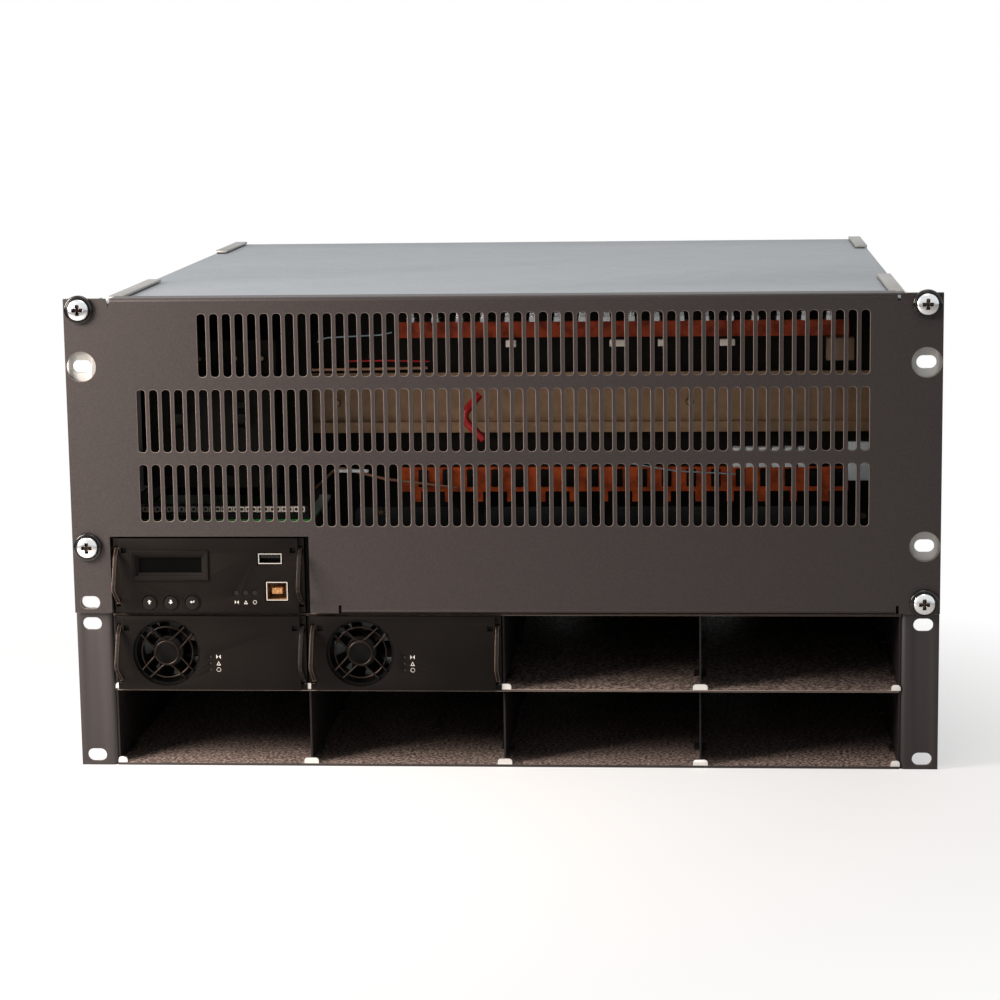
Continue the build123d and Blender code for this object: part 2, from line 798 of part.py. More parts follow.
def cover_flat():
    """Outline of the front cover with its slots, access holes, notches and controller cut-out."""
    low, high = ear_low, total_height
    flat = Pos(0, (low + high) / 2) * RectangleRounded(panel_width, high - low, cover_corner)
    flat -= [Pos(x, z) * cover_slot(length) for x, z, length in cover_slots()]
    opening = (bay_x[0] - face_width / 2 - controller_gap, bay_x[0] + face_width / 2 + controller_side_gap)
    width, middle = span(*opening)
    height = cage_top + controller_gap - 0.5 - low
    flat -= Pos(middle, low + height / 2) * Rectangle(width, 2 * height)
    heights = chassis_slot_heights()
    x = ear_slot_span / 2
    for place in ((-x, heights[2]), (x, heights[2]), (x, heights[1])):
        flat -= Pos(*place) * Circle(access_hole_radius)
    flat -= Pos(-x, heights[0]) * SlotOverall(ear_slot_length, ear_slot_width)
    for place in cover_screw_places():
        flat -= Pos(*place) * Circle(screw_radius + screw_clearance)
    notch = ((top_flange[0] - 2.3, high + 0.1), (top_flange[0], high + 0.1))
    flat -= make_face(Polyline(*notch, ((notch[0][0] + notch[1][0]) / 2, high - relief_depth), close=True))
    slits = ((top_flange[1], high), (bottom_flange[0] - relief_width, low), (bottom_flange[1], low))
    for x, z in slits:
        flat -= Pos(x + relief_width / 2, z) * Rectangle(relief_width, 2 * relief_depth)
    return flat


def front_cover():
    """Slotted front cover with its top and bottom return flanges and pads at its screws."""
    back = -cover_back
    cover = prism_y(cover_flat(), -cover_front, back)
    rear = -cover_front + cover_flange
    cover += block(top_flange, (back - 0.1, rear), (total_height - sheet, total_height))
    cover += block(bottom_flange, (back - 0.1, rear), (ear_low, ear_low + sheet))
    edge = nearest_edge(cover, 0, -cover_front, total_height)
    cover = fillet([edge, nearest_edge(cover, 60, -cover_front, ear_low)], bend_radius)
    left = bay_x[0] - face_width / 2 - controller_gap
    cover += block((left - sheet, left), (back - 0.1, -sheet - 0.2), (ear_low + relief_depth, cage_top - 2))
    sheet_flat = Pos(0, (ear_low + total_height) / 2) * Rectangle(panel_width, total_height - ear_low)
    for x, z in cover_screw_places():
        ring = Pos(x, z) * (Circle(pad_radius) - Circle(screw_radius + screw_clearance))
        cover += prism_y(sheet_flat & ring, back - 0.1, -sheet)
    return cover


def controller_cage():
    """Sheet cage round the controller bay: side wall, top and rear wall with the socket."""
    low, high = deck_z, cage_top + thin_sheet
    cage = block((cage_right - thin_sheet, cage_right), (seat_gap, cage_depth), (low, high))
    cage += block((-inner_half, cage_right), (seat_gap, cage_depth), (cage_top, high))
    cage += block((-inner_half, -inner_half + thin_sheet), (seat_gap, cage_depth), (cage_top, high + cage_flange))
    rear = (cage_depth - thin_sheet, cage_depth)
    cage += block((-inner_half + 2 * thin_sheet, cage_right), rear, (low, high))
    cage += plug_socket(bay_x[0], low + plug_z, controller_depth + socket_stand_off, rear[0])
    places = [y for y in guide_places if y + guide_length < controller_depth]
    tab_z = (low + lip_height - divider_sheet, low + lip_height)
    wall = cage_right - thin_sheet
    return cage + [block((wall - guide_reach, wall), (y, y + guide_length), tab_z) for y in places]


def cover_screws():
    """Cross-recessed screws that hold the cover, heads inside the cup washers."""
    seat = -cover_front - cup_floor
    screws = Part()
    for x, z in cover_screw_places():
        head = cylinder_y(screw_head_radius, x, z, seat - screw_head_height, seat)
        rim = head.edges().filter_by(GeomType.CIRCLE).group_by(Axis.Y)[0]
        head = chamfer(rim, screw_head_chamfer)
        arm = Rectangle(cross_length, cross_width)
        cross = Pos(x, z) * (arm + Rot(0, 0, 90) * arm)
        head -= prism_y(cross, seat - screw_head_height - 1, seat - screw_head_height + screw_cross_depth)
        screws += head + cylinder_y(screw_radius, x, z, seat - 0.1, seat + screw_length)
    return screws


def cup_washers():
    """Plastic cup washers under the cover screws."""
    washers = Part()
    for x, z in cover_screw_places():
        low = -cover_front - cup_height
        cup = cylinder_y(cup_radius, x, z, low, -cover_front)
        cup = chamfer(cup.edges().filter_by(GeomType.CIRCLE).group_by(Axis.Y)[0], 0.9)
        cup -= cylinder_y(screw_head_radius + 0.4, x, z, low - 1, -cover_front - cup_floor)
        washers += cup - cylinder_y(screw_radius + screw_clearance, x, z, low - 1, -cover_front + 1)
    return washers


def top_hat_rail():
    """35 mm top-hat rail, its back on the mounting plate."""
    low, high = rail_z - rail_width / 2, rail_z + rail_width / 2
    crown = (rail_z - rail_crown / 2, rail_z + rail_crown / 2)
    back, front = plate_y, plate_y - rail_height
    outer = [(front, low), (front, high), (front + rail_sheet, high), (front + rail_sheet, crown[1])]
    outer += [(back, crown[1]), (back, crown[0]), (front + rail_sheet, crown[0]), (front + rail_sheet, low)]
    section = make_face(Polyline(*outer, close=True))
    inner = (rail_crown - 2 * rail_sheet, rail_height - rail_sheet)
    section -= Pos(front + inner[1] / 2, rail_z) * Rectangle(inner[1], inner[0])
    return prism_x(section, *rail_ends)


def mounting_plate():
    """Upright plate across the chassis that carries the rail and the busbars."""
    y = (plate_y, plate_y + sheet)
    right = inner_half - thin_sheet - 1
    plate = block((cage_right + 2, right), y, (deck_z, plate_top))
    plate += block((-right, right), y, (cage_top + plate_clearance, plate_top))
    plate += block((cage_right + 2, right), (plate_y, plate_y + plate_foot), (deck_z, deck_z + sheet))
    for n in range(plate_windows):
        x = plate_window_first + n * plate_window_pitch
        plate -= prism_y(Pos(x, plate_window_z) * RectangleRounded(*plate_window), y[0] - 1, y[1] + 1)
    return plate


def cable_bracket():
    """Upright strip beside the breakers, on two feet that reach back to the plate."""
    strip = block(bracket_x, (bracket_y, bracket_y + sheet), bracket_z)
    foot_x = (bracket_x[1] - sheet, bracket_x[1])
    for low, high in ((bracket_z[0], bracket_z[0] + bracket_foot), (bracket_z[1] - bracket_foot, bracket_z[1])):
        strip += block(foot_x, (bracket_y, plate_y), (low, high))
    return strip


def breaker(start):
    """Two-pole breaker on the rail, with terminal wells above and below its nose."""
    width = 2 * breaker_pole
    back = plate_y - rail_height - 0.2
    front = back - breaker_depth
    low, high = rail_z - breaker_height / 2, rail_z + breaker_height / 2
    shoulder = front + breaker_nose
    nose = (rail_z - breaker_nose_height / 2, rail_z + breaker_nose_height / 2)
    outline = [(back, low), (back, high), (shoulder, high), (shoulder, nose[1]), (front, nose[1])]
    outline += [(front, nose[0]), (shoulder, nose[0]), (shoulder, low)]
    body = prism_x(make_face(Polyline(*outline, close=True)), start, start + width)
    for n in range(2):
        x = start + (n + 0.5) * breaker_pole
        for z in (low + breaker_screw_inset, high - breaker_screw_inset):
            body -= cylinder_y(breaker_screw_radius, x, z, shoulder - 1, shoulder + 3)
    slot = (start + width / 2 - toggle_width / 2 - 0.4, start + width / 2 + toggle_width / 2 + 0.4)
    return body - cylinder_x(toggle_radius + 0.4, front + toggle_sink, rail_z, *slot)


def breaker_toggle(start):
    """Toggle of a breaker: a drum in the nose with a lever, shown switched on."""
    middle = start + breaker_pole
    y = plate_y - rail_height - 0.2 - breaker_depth + toggle_sink
    x = (middle - toggle_width / 2, middle + toggle_width / 2)
    drum = cylinder_x(toggle_radius, y, rail_z, *x)
    lever = block(x, (-toggle_radius - toggle_reach, 0), (-toggle_lever / 2, toggle_lever / 2))
    return drum + Pos(0, y, rail_z) * (Rot(-toggle_angle, 0, 0) * lever)


def upper_busbar():
    """Copper bar behind the upper slots."""
    z = (upper_busbar_z - upper_busbar_height / 2, upper_busbar_z + upper_busbar_height / 2)
    return block(busbar_ends, (busbar_y, busbar_y + busbar_thickness), z)


def busbar_bolts():
    """Terminal studs with their nuts along the top edge of the upper busbar."""
    top = upper_busbar_z + upper_busbar_height / 2
    count = int((busbar_ends[1] - busbar_ends[0]) / busbar_bolt_pitch)
    y = busbar_y + busbar_thickness / 2
    bolts = Part()
    for n in range(count):
        x = busbar_ends[0] + (n + 0.5) * busbar_bolt_pitch
        nut = Pos(x, y, top) * extrude(RegularPolygon(busbar_nut_radius, 6), amount=busbar_nut_height)
        stud = extrude(RegularPolygon(busbar_bolt_radius, 8), amount=busbar_bolt_length)
        bolts += nut + Pos(x, y, top) * stud
    return bolts


def comb_busbar():
    """Lower busbar with its row of fingers turned down to the terminals."""
    z = (comb_busbar_z - comb_busbar_height / 2, comb_busbar_z + comb_busbar_height / 2)
    bar = block(busbar_ends, (busbar_y, busbar_y + busbar_thickness), z)
    count = int((busbar_ends[1] - busbar_ends[0]) / breaker_pole)
    for n in range(count):
        x = busbar_ends[0] + (n + 0.5) * breaker_pole
        bar += block((x - 2, x + 2), (busbar_y, busbar_y + 1.5), (z[0] - comb_finger, z[0] + 1))
    return bar


def busbar_standoffs():
    """Insulating standoffs between the busbars and the mounting plate."""
    posts = Part()
    for x in standoff_places:
        for z in (upper_busbar_z, comb_busbar_z):
            hexagon = Pos(x, z) * RegularPolygon(standoff_radius, 6)
            posts += prism_y(hexagon, busbar_y + busbar_thickness, plate_y)
    return posts


def io_board():
    """Signal board on top of the controller cage, with its terminal row along the front."""
    z = cage_top + thin_sheet
    board = block(io_board_ends, io_board_y, (z, z + board_thickness))
    top = z + board_thickness
    front = (io_board_y[0] + 2, io_board_y[0] + 2 + terminal_depth)
    row = block((io_board_ends[0] + 2, io_board_ends[1] - 2), front, (top, top + terminal_height))
    count = int((io_board_ends[1] - io_board_ends[0] - 6) / terminal_pitch)
    wells = [
        block(
            (x - terminal_well / 2, x + terminal_well / 2),
            (front[0] - 1, front[0] + 2),
            (top + terminal_height - 5, top + terminal_height - 2),
        )
        for x in [io_board_ends[0] + 3 + (n + 0.5) * terminal_pitch for n in range(count)]
    ]
    return board + (row - wells)


def module_place(bay, z):
    """Shift from a module's own frame, on its bay's floor, to the shelf's frame."""
    return Pos(bay_x[bay], 0, z)


def rectifier_nodes(number, bay):
    """Every piece of one rectifier, by node name."""
    pieces = {
        "case": rectifier_case(),
        "front": rectifier_front(),
        "fan_frame": fan_frame(),
        "fan_rotor": fan_rotor(),
        "fan_guard": fan_guard(),
        "light_pipe": light_pipe(status_lamps(), status_lamp_radius - lamp_fit),
        "handle_left": handle(-1),
        "handle_right": handle(1),
    }
    place = module_place(bay, upper_bay_z)
    return {f"rectifier_{number}_{name}": place * piece for name, piece in pieces.items()}


def controller_nodes():
    """Every piece of the controller module, by node name."""
    pieces = {
        "controller_case": controller_case(),
        "controller_front": controller_front(),
        "controller_board": controller_board(),
        "display_window": display_window(),
        "button_up": button(0),
        "button_down": button(1),
        "button_enter": button(2),
        "data_socket_a": data_socket(socket_a, socket_a_at, socket_a_tongue),
        "data_socket_b": data_socket(socket_b, socket_b_at, socket_b_tongue),
        "controller_light_pipe": light_pipe(controller_lamps(), lamp_radius - lamp_fit),
        "controller_handle_left": handle(-1),
        "controller_handle_right": handle(1),
    }
    place = module_place(0, deck_z)
    return {name: place * piece for name, piece in pieces.items()}


def shelf_nodes():
    """Every fixed piece of the lower shelf, by node name."""
    nodes = {
        "shelf_tray": shelf_tray(),
        "mid_shelf": mid_shelf(),
        "shelf_top": shelf_top(),
        "side_liner_left": side_liner(-1),
        "side_liner_right": side_liner(1),
        "backplane": backplane(),
    }
    for row, z in (("lower", lower_bay_z), ("upper", upper_bay_z)):
        for name, x in zip(("left", "middle", "right"), divider_x):
            nodes[f"divider_{row}_{name}"] = divider(x, z)
    return nodes


def chassis_nodes():
    """Every fixed piece of the distribution chassis, by node name."""
    nodes = {
        "side_panel_left": side_panel(-1),
        "side_panel_right": side_panel(1),
        "chassis_base": chassis_base(),
        "top_cover": top_cover(),
        "front_cover": front_cover(),
        "controller_cage": controller_cage(),
        "cover_screws": cover_screws(),
        "cup_washers": cup_washers(),
        "top_hat_rail": top_hat_rail(),
        "mounting_plate": mounting_plate(),
        "cable_bracket": cable_bracket(),
        "upper_busbar": upper_busbar(),
        "busbar_bolts": busbar_bolts(),
        "comb_busbar": comb_busbar(),
        "busbar_standoffs": busbar_standoffs(),
        "io_board": io_board(),
    }
    for number, start in enumerate(breaker_starts, 1):
        nodes[f"breaker_{number}"] = breaker(start)
        nodes[f"breaker_{number}_toggle"] = breaker_toggle(start)
    return nodes


def write_parts():
    """Build every node and export it as its own STEP file."""
    os.makedirs("parts", exist_ok=True)
    nodes = {**shelf_nodes(), **chassis_nodes(), **controller_nodes()}
    for number, bay in enumerate(rectifier_bays, 1):
        nodes.update(rectifier_nodes(number, bay))
    for name, piece in nodes.items():
        piece.label = name
        export_step(piece, f"parts/{name}.step")


write_parts()
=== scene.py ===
"""Looks of a rack power shelf: finishes, slotted cover, small parts, lamps and camera.

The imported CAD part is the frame, in metres, with +Z up and the front towards -Y. Every piece here
is placed by the sizes in its class, given in millimetres, and rides on one of the frame's bodies.
"""
import json
import logging
import math
from dataclasses import dataclass, field, replace
from enum import Enum
from typing import Callable, Iterable, Optional, Sequence

import bmesh
import bpy
from mathutils import Matrix, Vector

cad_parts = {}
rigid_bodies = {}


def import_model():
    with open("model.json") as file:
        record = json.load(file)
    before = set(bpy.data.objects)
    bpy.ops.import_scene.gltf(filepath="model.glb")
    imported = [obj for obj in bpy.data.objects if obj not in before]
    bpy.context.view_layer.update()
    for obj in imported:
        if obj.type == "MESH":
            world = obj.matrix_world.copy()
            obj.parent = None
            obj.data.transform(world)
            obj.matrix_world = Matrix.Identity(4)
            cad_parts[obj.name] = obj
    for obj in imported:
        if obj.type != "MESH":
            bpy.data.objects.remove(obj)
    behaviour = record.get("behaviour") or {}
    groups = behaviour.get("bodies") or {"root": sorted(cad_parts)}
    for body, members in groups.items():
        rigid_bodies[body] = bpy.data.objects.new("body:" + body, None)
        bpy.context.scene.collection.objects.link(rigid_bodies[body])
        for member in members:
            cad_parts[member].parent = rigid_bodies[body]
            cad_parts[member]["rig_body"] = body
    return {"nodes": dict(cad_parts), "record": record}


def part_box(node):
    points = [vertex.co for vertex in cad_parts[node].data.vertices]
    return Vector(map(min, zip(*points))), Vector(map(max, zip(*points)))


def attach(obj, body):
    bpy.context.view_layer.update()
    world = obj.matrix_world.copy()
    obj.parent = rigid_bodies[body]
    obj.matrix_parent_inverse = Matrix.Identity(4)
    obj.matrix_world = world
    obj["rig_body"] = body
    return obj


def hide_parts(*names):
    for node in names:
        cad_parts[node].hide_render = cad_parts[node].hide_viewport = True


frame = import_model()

MM = 0.001
LOG = logging.getLogger("power_shelf")
NODES = frame["nodes"]
SLOTS = {part["node"]: part["material_slot"] for part in frame["record"]["subparts"]}
Point = tuple[float, float, float]
Loop = list[tuple[float, float]]


# Colour and node helpers


def linear(hex_colour: str) -> tuple[float, float, float, float]:
    """Turns an sRGB hex colour to linear.

    Args:
        hex_colour: Six hex digits, such as "6B625E".

    Returns:
        Linear red, green, blue and an alpha of one.
    """
    parts = [int(hex_colour[i : i + 2], 16) / 255 for i in (0, 2, 4)]
    turned = [c / 12.92 if c <= 0.04045 else ((c + 0.055) / 1.055) ** 2.4 for c in parts]
    return (turned[0], turned[1], turned[2], 1.0)


def add_node(
    tree: bpy.types.NodeTree, kind: str, inputs: Optional[dict] = None, **settings
) -> bpy.types.Node:
    """Adds one node, sets its options and fills or links its inputs.

    Args:
        tree: The shader or geometry tree.
        kind: The node's type name.
        inputs: Socket name or index to a value, or to the socket that feeds it.
        **settings: The node's own options.

    Returns:
        The new node.
    """
    node = tree.nodes.new(kind)
    for name, value in settings.items():
        setattr(node, name, value)
    for key, value in (inputs or {}).items():
        if isinstance(value, bpy.types.NodeSocket):
            tree.links.new(value, node.inputs[key])
        else:
            node.inputs[key].default_value = value
    return node


# Finishes


@dataclass(frozen=True)
class Finish:
    """One real material. Colours are sRGB hex, and pattern sizes are in millimetres."""

    name: str
    colour: str
    roughness: float
    metallic: float = 0.0
    specular: float = 0.5
    # Colour of the painted shade on faces that the mesh marks as hollows, such as slot walls and screw
    # recesses
    painted_hollow_shade: str = "14110F"

    def material(self) -> bpy.types.Material:
        """Returns the Blender material, made the first time it is asked for."""
        found = bpy.data.materials.get(self.name)
        if found:
            return found
        made = bpy.data.materials.new(self.name)
        made.use_nodes = True
        tree = made.node_tree
        shader = tree.nodes["Principled BSDF"]
        shader.inputs["Base Color"].default_value = linear(self.colour)
        shader.inputs["Roughness"].default_value = self.roughness
        shader.inputs["Metallic"].default_value = self.metallic
        if not self.metallic:
            shader.inputs["Specular IOR Level"].default_value = self.specular
        place = add_node(tree, "ShaderNodeTexCoord")
        self.dress(tree, shader, place.outputs["Object"])
        return made

    def dress(self, tree: bpy.types.NodeTree, shader: bpy.types.Node, place: bpy.types.NodeSocket) -> None:
        """Adds the pattern of this finish.

        Args:
            tree: The material's tree.
            shader: Its Principled shader.
            place: Object coordinates, in metres.
        """

    def noise(self, tree: bpy.types.NodeTree, place: bpy.types.NodeSocket, size: float, detail: float = 2.0):
        """Noise whose features are about size millimetres across."""
        inputs = {"Vector": place, "Scale": 1 / (size * MM), "Detail": detail, "Roughness": 0.6}
        return add_node(tree, "ShaderNodeTexNoise", inputs).outputs["Fac"]

    def ramp(self, tree: bpy.types.NodeTree, value: bpy.types.NodeSocket, stops: Sequence[tuple[float, str]]):
        """Colours along a value: stops are (place from 0 to 1, hex)."""
        node = add_node(tree, "ShaderNodeValToRGB", {"Fac": value})
        while len(node.color_ramp.elements) < len(stops):
            node.color_ramp.elements.new(0.5)
        for element, (at, colour) in zip(node.color_ramp.elements, stops):
            element.position = at
            element.color = linear(colour)
        return node.outputs["Color"]

    def marked(self, tree: bpy.types.NodeTree, mark: str, colour: bpy.types.NodeSocket, other: str):
        """Another colour where the mesh carries a face attribute, such as a rounded edge."""
        share = add_node(tree, "ShaderNodeAttribute", attribute_name=mark).outputs["Fac"]
        inputs = {0: share, 6: colour, 7: linear(other)}
        return add_node(tree, "ShaderNodeMix", inputs, data_type="RGBA").outputs[2]

    def spread(self, tree: bpy.types.NodeTree, value: bpy.types.NodeSocket, low: float, high: float):
        """Maps a noise value, mostly 0.3 to 0.7, to low to high."""
        inputs = {"Value": value, "From Min": 0.3, "From Max": 0.7, "To Min": low, "To Max": high}
        return add_node(tree, "ShaderNodeMapRange", inputs).outputs["Result"]

    def bump(self, tree, shader, height, depth: float, strength: float = 1.0) -> None:
        """Bump of a depth in millimetres."""
        inputs = {"Height": height, "Distance": depth * MM, "Strength": strength}
        made = add_node(tree, "ShaderNodeBump", inputs)
        tree.links.new(made.outputs["Normal"], shader.inputs["Normal"])


@dataclass(frozen=True)
class PowderCoat(Finish):
    """Polyester powder coat, baked: fine orange peel, faint grit, a paler line on rounded edges that is a
    painted highlight, and painted shade in hollows.
    """

    fleck: str = "3F3836"
    # Painted highlight colour of the rounded edges that the mesh marks
    edge: str = "7A6F69"
    peel: float = 1.4
    grit: float = 0.8
    relief: float = 0.05

    def base(self, tree, shader, place) -> bpy.types.NodeSocket:
        """The coat's colour, with its grit."""
        grit = self.noise(tree, place, self.grit, 2.0)
        return self.ramp(tree, grit, [(0.4, self.colour), (0.75, self.fleck)])

    def dress(self, tree, shader, place) -> None:
        """Adds peel, grit, painted shade in hollows and a painted highlight on rounded edges, where the mesh
        marks them with attributes.
        """
        peel = self.noise(tree, place, self.peel, 3.0)
        colour = self.marked(tree, "painted_hollow_shade", self.base(tree, shader, place), self.painted_hollow_shade)
        colour = self.marked(tree, "edge", colour, self.edge)
        tree.links.new(colour, shader.inputs["Base Color"])
        gloss = self.spread(tree, peel, self.roughness - 0.05, self.roughness + 0.07)
        tree.links.new(gloss, shader.inputs["Roughness"])
        self.bump(tree, shader, peel, self.relief, 0.55)


@dataclass(frozen=True)
class ZincSheet(Finish):
    """Galvanised or zinc-plated sheet: soft spangle in tone and gloss, with fine rolling streaks."""

    shade: str = "8E9598"
    spangle: float = 9.0
    relief: float = 0.0

    def dress(self, tree, shader, place) -> None:
        """Adds spangle tones, streaks and, on textured sheet, the pebbled relief."""
        cells = add_node(tree, "ShaderNodeTexVoronoi", {"Vector": place, "Scale": 1 / (self.spangle * MM)})
        tone = add_node(tree, "ShaderNodeSeparateColor", {"Color": cells.outputs["Color"]}).outputs["Red"]
        stretch = add_node(tree, "ShaderNodeMapping", {"Vector": place, "Scale": (1.0, 0.06, 1.0)})
        streak = self.noise(tree, stretch.outputs["Vector"], 0.9, 3.0)
        blend = add_node(tree, "ShaderNodeMath", {0: tone, 1: streak}, operation="MULTIPLY_ADD")
        blend.inputs[2].default_value = 0.1
        tone = add_node(tree, "ShaderNodeMath", {0: blend.outputs[0], 1: 0.9}, operation="MULTIPLY")
        colour = self.ramp(tree, tone.outputs[0], [(0.05, self.shade), (0.75, self.colour)])
        tree.links.new(colour, shader.inputs["Base Color"])
        dullness = self.spread(tree, streak, self.roughness - 0.04, self.roughness + 0.06)
        tree.links.new(dullness, shader.inputs["Roughness"])
        if self.relief:
            pebble = self.noise(tree, place, 2.6, 1.0)
            self.bump(tree, shader, pebble, self.relief, 0.8)
        else:
            self.bump(tree, shader, streak, 0.01, 0.3)


@dataclass(frozen=True)
class Moulding(Finish):
    """Moulded thermoplastic with a spark-eroded grain and faint flow marks."""

    grain: float = 0.7
    depth: float = 0.03
    sheen: str = ""

    def dress(self, tree, shader, place) -> None:
        """Adds the grain to bump and gloss, and a faint change of tone."""
        grain = self.noise(tree, place, self.grain, 2.0)
        flow = self.noise(tree, place, 24.0, 1.0)
        lighter = self.sheen or self.colour
        colour = self.ramp(tree, flow, [(0.3, self.colour), (0.75, lighter)])
        tree.links.new(colour, shader.inputs["Base Color"])
        dullness = self.spread(tree, grain, self.roughness - 0.05, self.roughness + 0.08)
        tree.links.new(dullness, shader.inputs["Roughness"])
        self.bump(tree, shader, grain, self.depth, 0.5)


@dataclass(frozen=True)
class WorkedMetal(Finish):
    """Plated or bare metal that was drawn, turned or rolled: fine scratches along one axis."""

    along: tuple[float, float, float] = (0.1, 1.0, 1.0)
    tarnish: str = ""

    def dress(self, tree, shader, place) -> None:
        """Adds scratches along the working direction, patches of tarnish, and painted shade where the mesh
        marks hollows.
        """
        stretch = add_node(tree, "ShaderNodeMapping", {"Vector": place, "Scale": self.along})
        scratch = self.noise(tree, stretch.outputs["Vector"], 0.5, 4.0)
        patch = self.noise(tree, place, 7.0, 3.0)
        colour = self.ramp(tree, patch, [(0.35, self.tarnish or self.colour), (0.6, self.colour)])
        tree.links.new(self.marked(tree, "painted_hollow_shade", colour, self.painted_hollow_shade), shader.inputs["Base Color"])
        dullness = self.spread(tree, scratch, self.roughness - 0.06, self.roughness + 0.08)
        tree.links.new(dullness, shader.inputs["Roughness"])
        self.bump(tree, shader, scratch, 0.01, 0.4)


@dataclass(frozen=True)
class Zoned(PowderCoat):
    """A coat that ends at a plane: past it the part shows another smooth colour, or bare metal."""

    other: str = "E2DFDB"
    axis: str = "Y"
    plane: float = -0.4
    past: str = "LESS_THAN"
    bare: bool = True

    def zone(self, tree, place) -> bpy.types.NodeSocket:
        """One past the plane, zero before it."""
        along = add_node(tree, "ShaderNodeSeparateXYZ", {"Vector": place}).outputs[self.axis]
        inputs = {0: along, 1: self.plane * MM}
        return add_node(tree, "ShaderNodeMath", inputs, operation=self.past).outputs[0]

    def base(self, tree, shader, place) -> bpy.types.NodeSocket:
        """The coat's colour, and what lies past the plane, given in millimetres."""
        zone = self.zone(tree, place)
        if self.bare:
            tree.links.new(zone, shader.inputs["Metallic"])
        inputs = {0: zone, 6: super().base(tree, shader, place), 7: linear(self.other)}
        return add_node(tree, "ShaderNodeMix", inputs, data_type="RGBA").outputs[2]

    def dress(self, tree, shader, place) -> None:
        """Adds the coat, whose relief nearly ends at the plane."""
        super().dress(tree, shader, place)
        relief = shader.inputs["Normal"].links[0].from_node
        inputs = {"Value": self.zone(tree, place), "To Min": 0.6, "To Max": 0.1}
        calm = add_node(tree, "ShaderNodeMapRange", inputs)
        tree.links.new(calm.outputs["Result"], relief.inputs["Strength"])


@dataclass(frozen=True)
class Pebbled(Zoned):
    """A coat that shows its pebbles on the faces that look up, and is smooth on all others."""

    def zone(self, tree, place) -> bpy.types.NodeSocket:
        """One on faces that don't look up."""
        normal = add_node(tree, "ShaderNodeTexCoord").outputs["Normal"]
        rise = add_node(tree, "ShaderNodeSeparateXYZ", {"Vector": normal}).outputs["Z"]
        return add_node(tree, "ShaderNodeMath", {0: rise, 1: 0.5}, operation="LESS_THAN").outputs[0]


# Powder-coated steel cover and ears: warm anthracite, satin, with a painted highlight where the coat turns an
# edge and painted shade on the slot walls
ANTHRACITE = PowderCoat("powder_coat_anthracite", "343030", 0.46, specular=0.22, painted_hollow_shade="090807")
# Hot-dip galvanised lid: blue-grey, dull, nearly even
LID_ZINC = ZincSheet("galvanised_lid", "959BA0", 0.55, 0.7, shade="8F959A", spangle=14.0)
# Electro-zinc side panels: grey, a little warm
PANEL_ZINC = ZincSheet("zinc_plated_sheet", "9F9E9B", 0.48, 0.8, shade="979693", spangle=6.0)
# The shelf's coat: pebbled with dark pits on the floors, smooth as the cover on the ears,
# with a painted highlight on its rounded front edges
TRAY_COAT = Pebbled(
    "powder_coat_tray", "2A2421", 0.5, specular=0.3, fleck="BFAAA0", edge="A39287",
    peel=1.9, grit=1.7, relief=0.25,
    other="343030", bare=False,
)
# Black-coated dividers and liners, with bare zinc latch lips and a painted highlight on rounded edges
DIVIDER_COAT = Zoned("black_coated_divider", "171413", 0.5, specular=0.2, fleck="201B19", edge="6A5648")
# Dark coat of the deck over the modules, brown where its front edge catches the light
DECK_COAT = PowderCoat("powder_coat_deck", "26211F", 0.5, specular=0.2, fleck="2C2624", edge="7C6C61")
# Chassis base: near black inside as painted shade, so that it stays dark behind the slots, and bare zinc on
# the rear wall's outside
BASE_ZINC_INNER_SHADE = Zoned(
    "chassis_base_inner_shade", "131415", 0.7, specular=0.12, fleck="1A1C1D", edge="242628", other="9F9E9B",
    plane=449.4, past="GREATER_THAN",
)
# Matt black of the equipment plate, cable bracket and cage: partly their coat and partly painted shade that
# keeps the chassis dark
INNER_BLACK = PowderCoat("inner_black_coat_and_shade", "161413", 0.7, specular=0.12, fleck="1E1B19", edge="2A2522")
# Moulded ABS of the module faces: brown-black, fine spark grain
FACE_ABS = Moulding("moulded_abs_face", "151210", 0.48, specular=0.05, sheen="181513")
# Glass-filled nylon of fans: black, slightly glossy
BLACK_NYLON = Moulding("black_nylon", "0C0B0A", 0.45, specular=0.08, grain=0.5)
# Polished black nylon of the cup washers
GLOSS_BLACK = Moulding("gloss_black_nylon", "0A0909", 0.1, grain=3.0, depth=0.0)
# Black-coated lever steel: satin, brown where the light catches an edge
LEVER_COAT = PowderCoat("black_lever_coat", "171311", 0.4, specular=0.15, fleck="1E1917", edge="7C6657")
# Black nickel-plated guard wire, brown on its ridges
GUARD_WIRE = WorkedMetal("black_nickel_wire", "2E2723", 0.38, 1.0, tarnish="241F1C")
# Bright zinc screws, blue passivated, with painted shade in the cross recess
ZINC_SCREW = WorkedMetal("bright_zinc_screw", "DDDFE0", 0.2, 1.0, painted_hollow_shade="4A3C34")
# Small screws in the chassis' shade, yellow passivated
INNER_SCREW = WorkedMetal("yellow_zinc_screw", "8A7A64", 0.3, 1.0)
# Module case: bare zinc, its front edge painted near black as painted shade where it shows through the face's
# release holes
CASE_FRONT_SHADE = Zoned(
    "module_case", "0D0C0B", 0.5, specular=0.15, fleck="12100F", edge="171412", other="A0A19F",
    plane=3.0, past="GREATER_THAN",
)
# Rolled copper bar, oxidised to a dark red
COPPER = WorkedMetal("oxidised_copper_bar", "A03F1E", 0.45, 0.6, tarnish="6E2410")
# Copper comb fingers, brighter and more orange
COMB_COPPER = WorkedMetal("copper_comb_bar", "C4531E", 0.4, 0.6, tarnish="8A3512")
# Yellow-passivated steel rail, brown in the chassis' shade
RAIL_ZINC = WorkedMetal("passivated_rail", "9A7C60", 0.5, 0.35, tarnish="8A6E54")
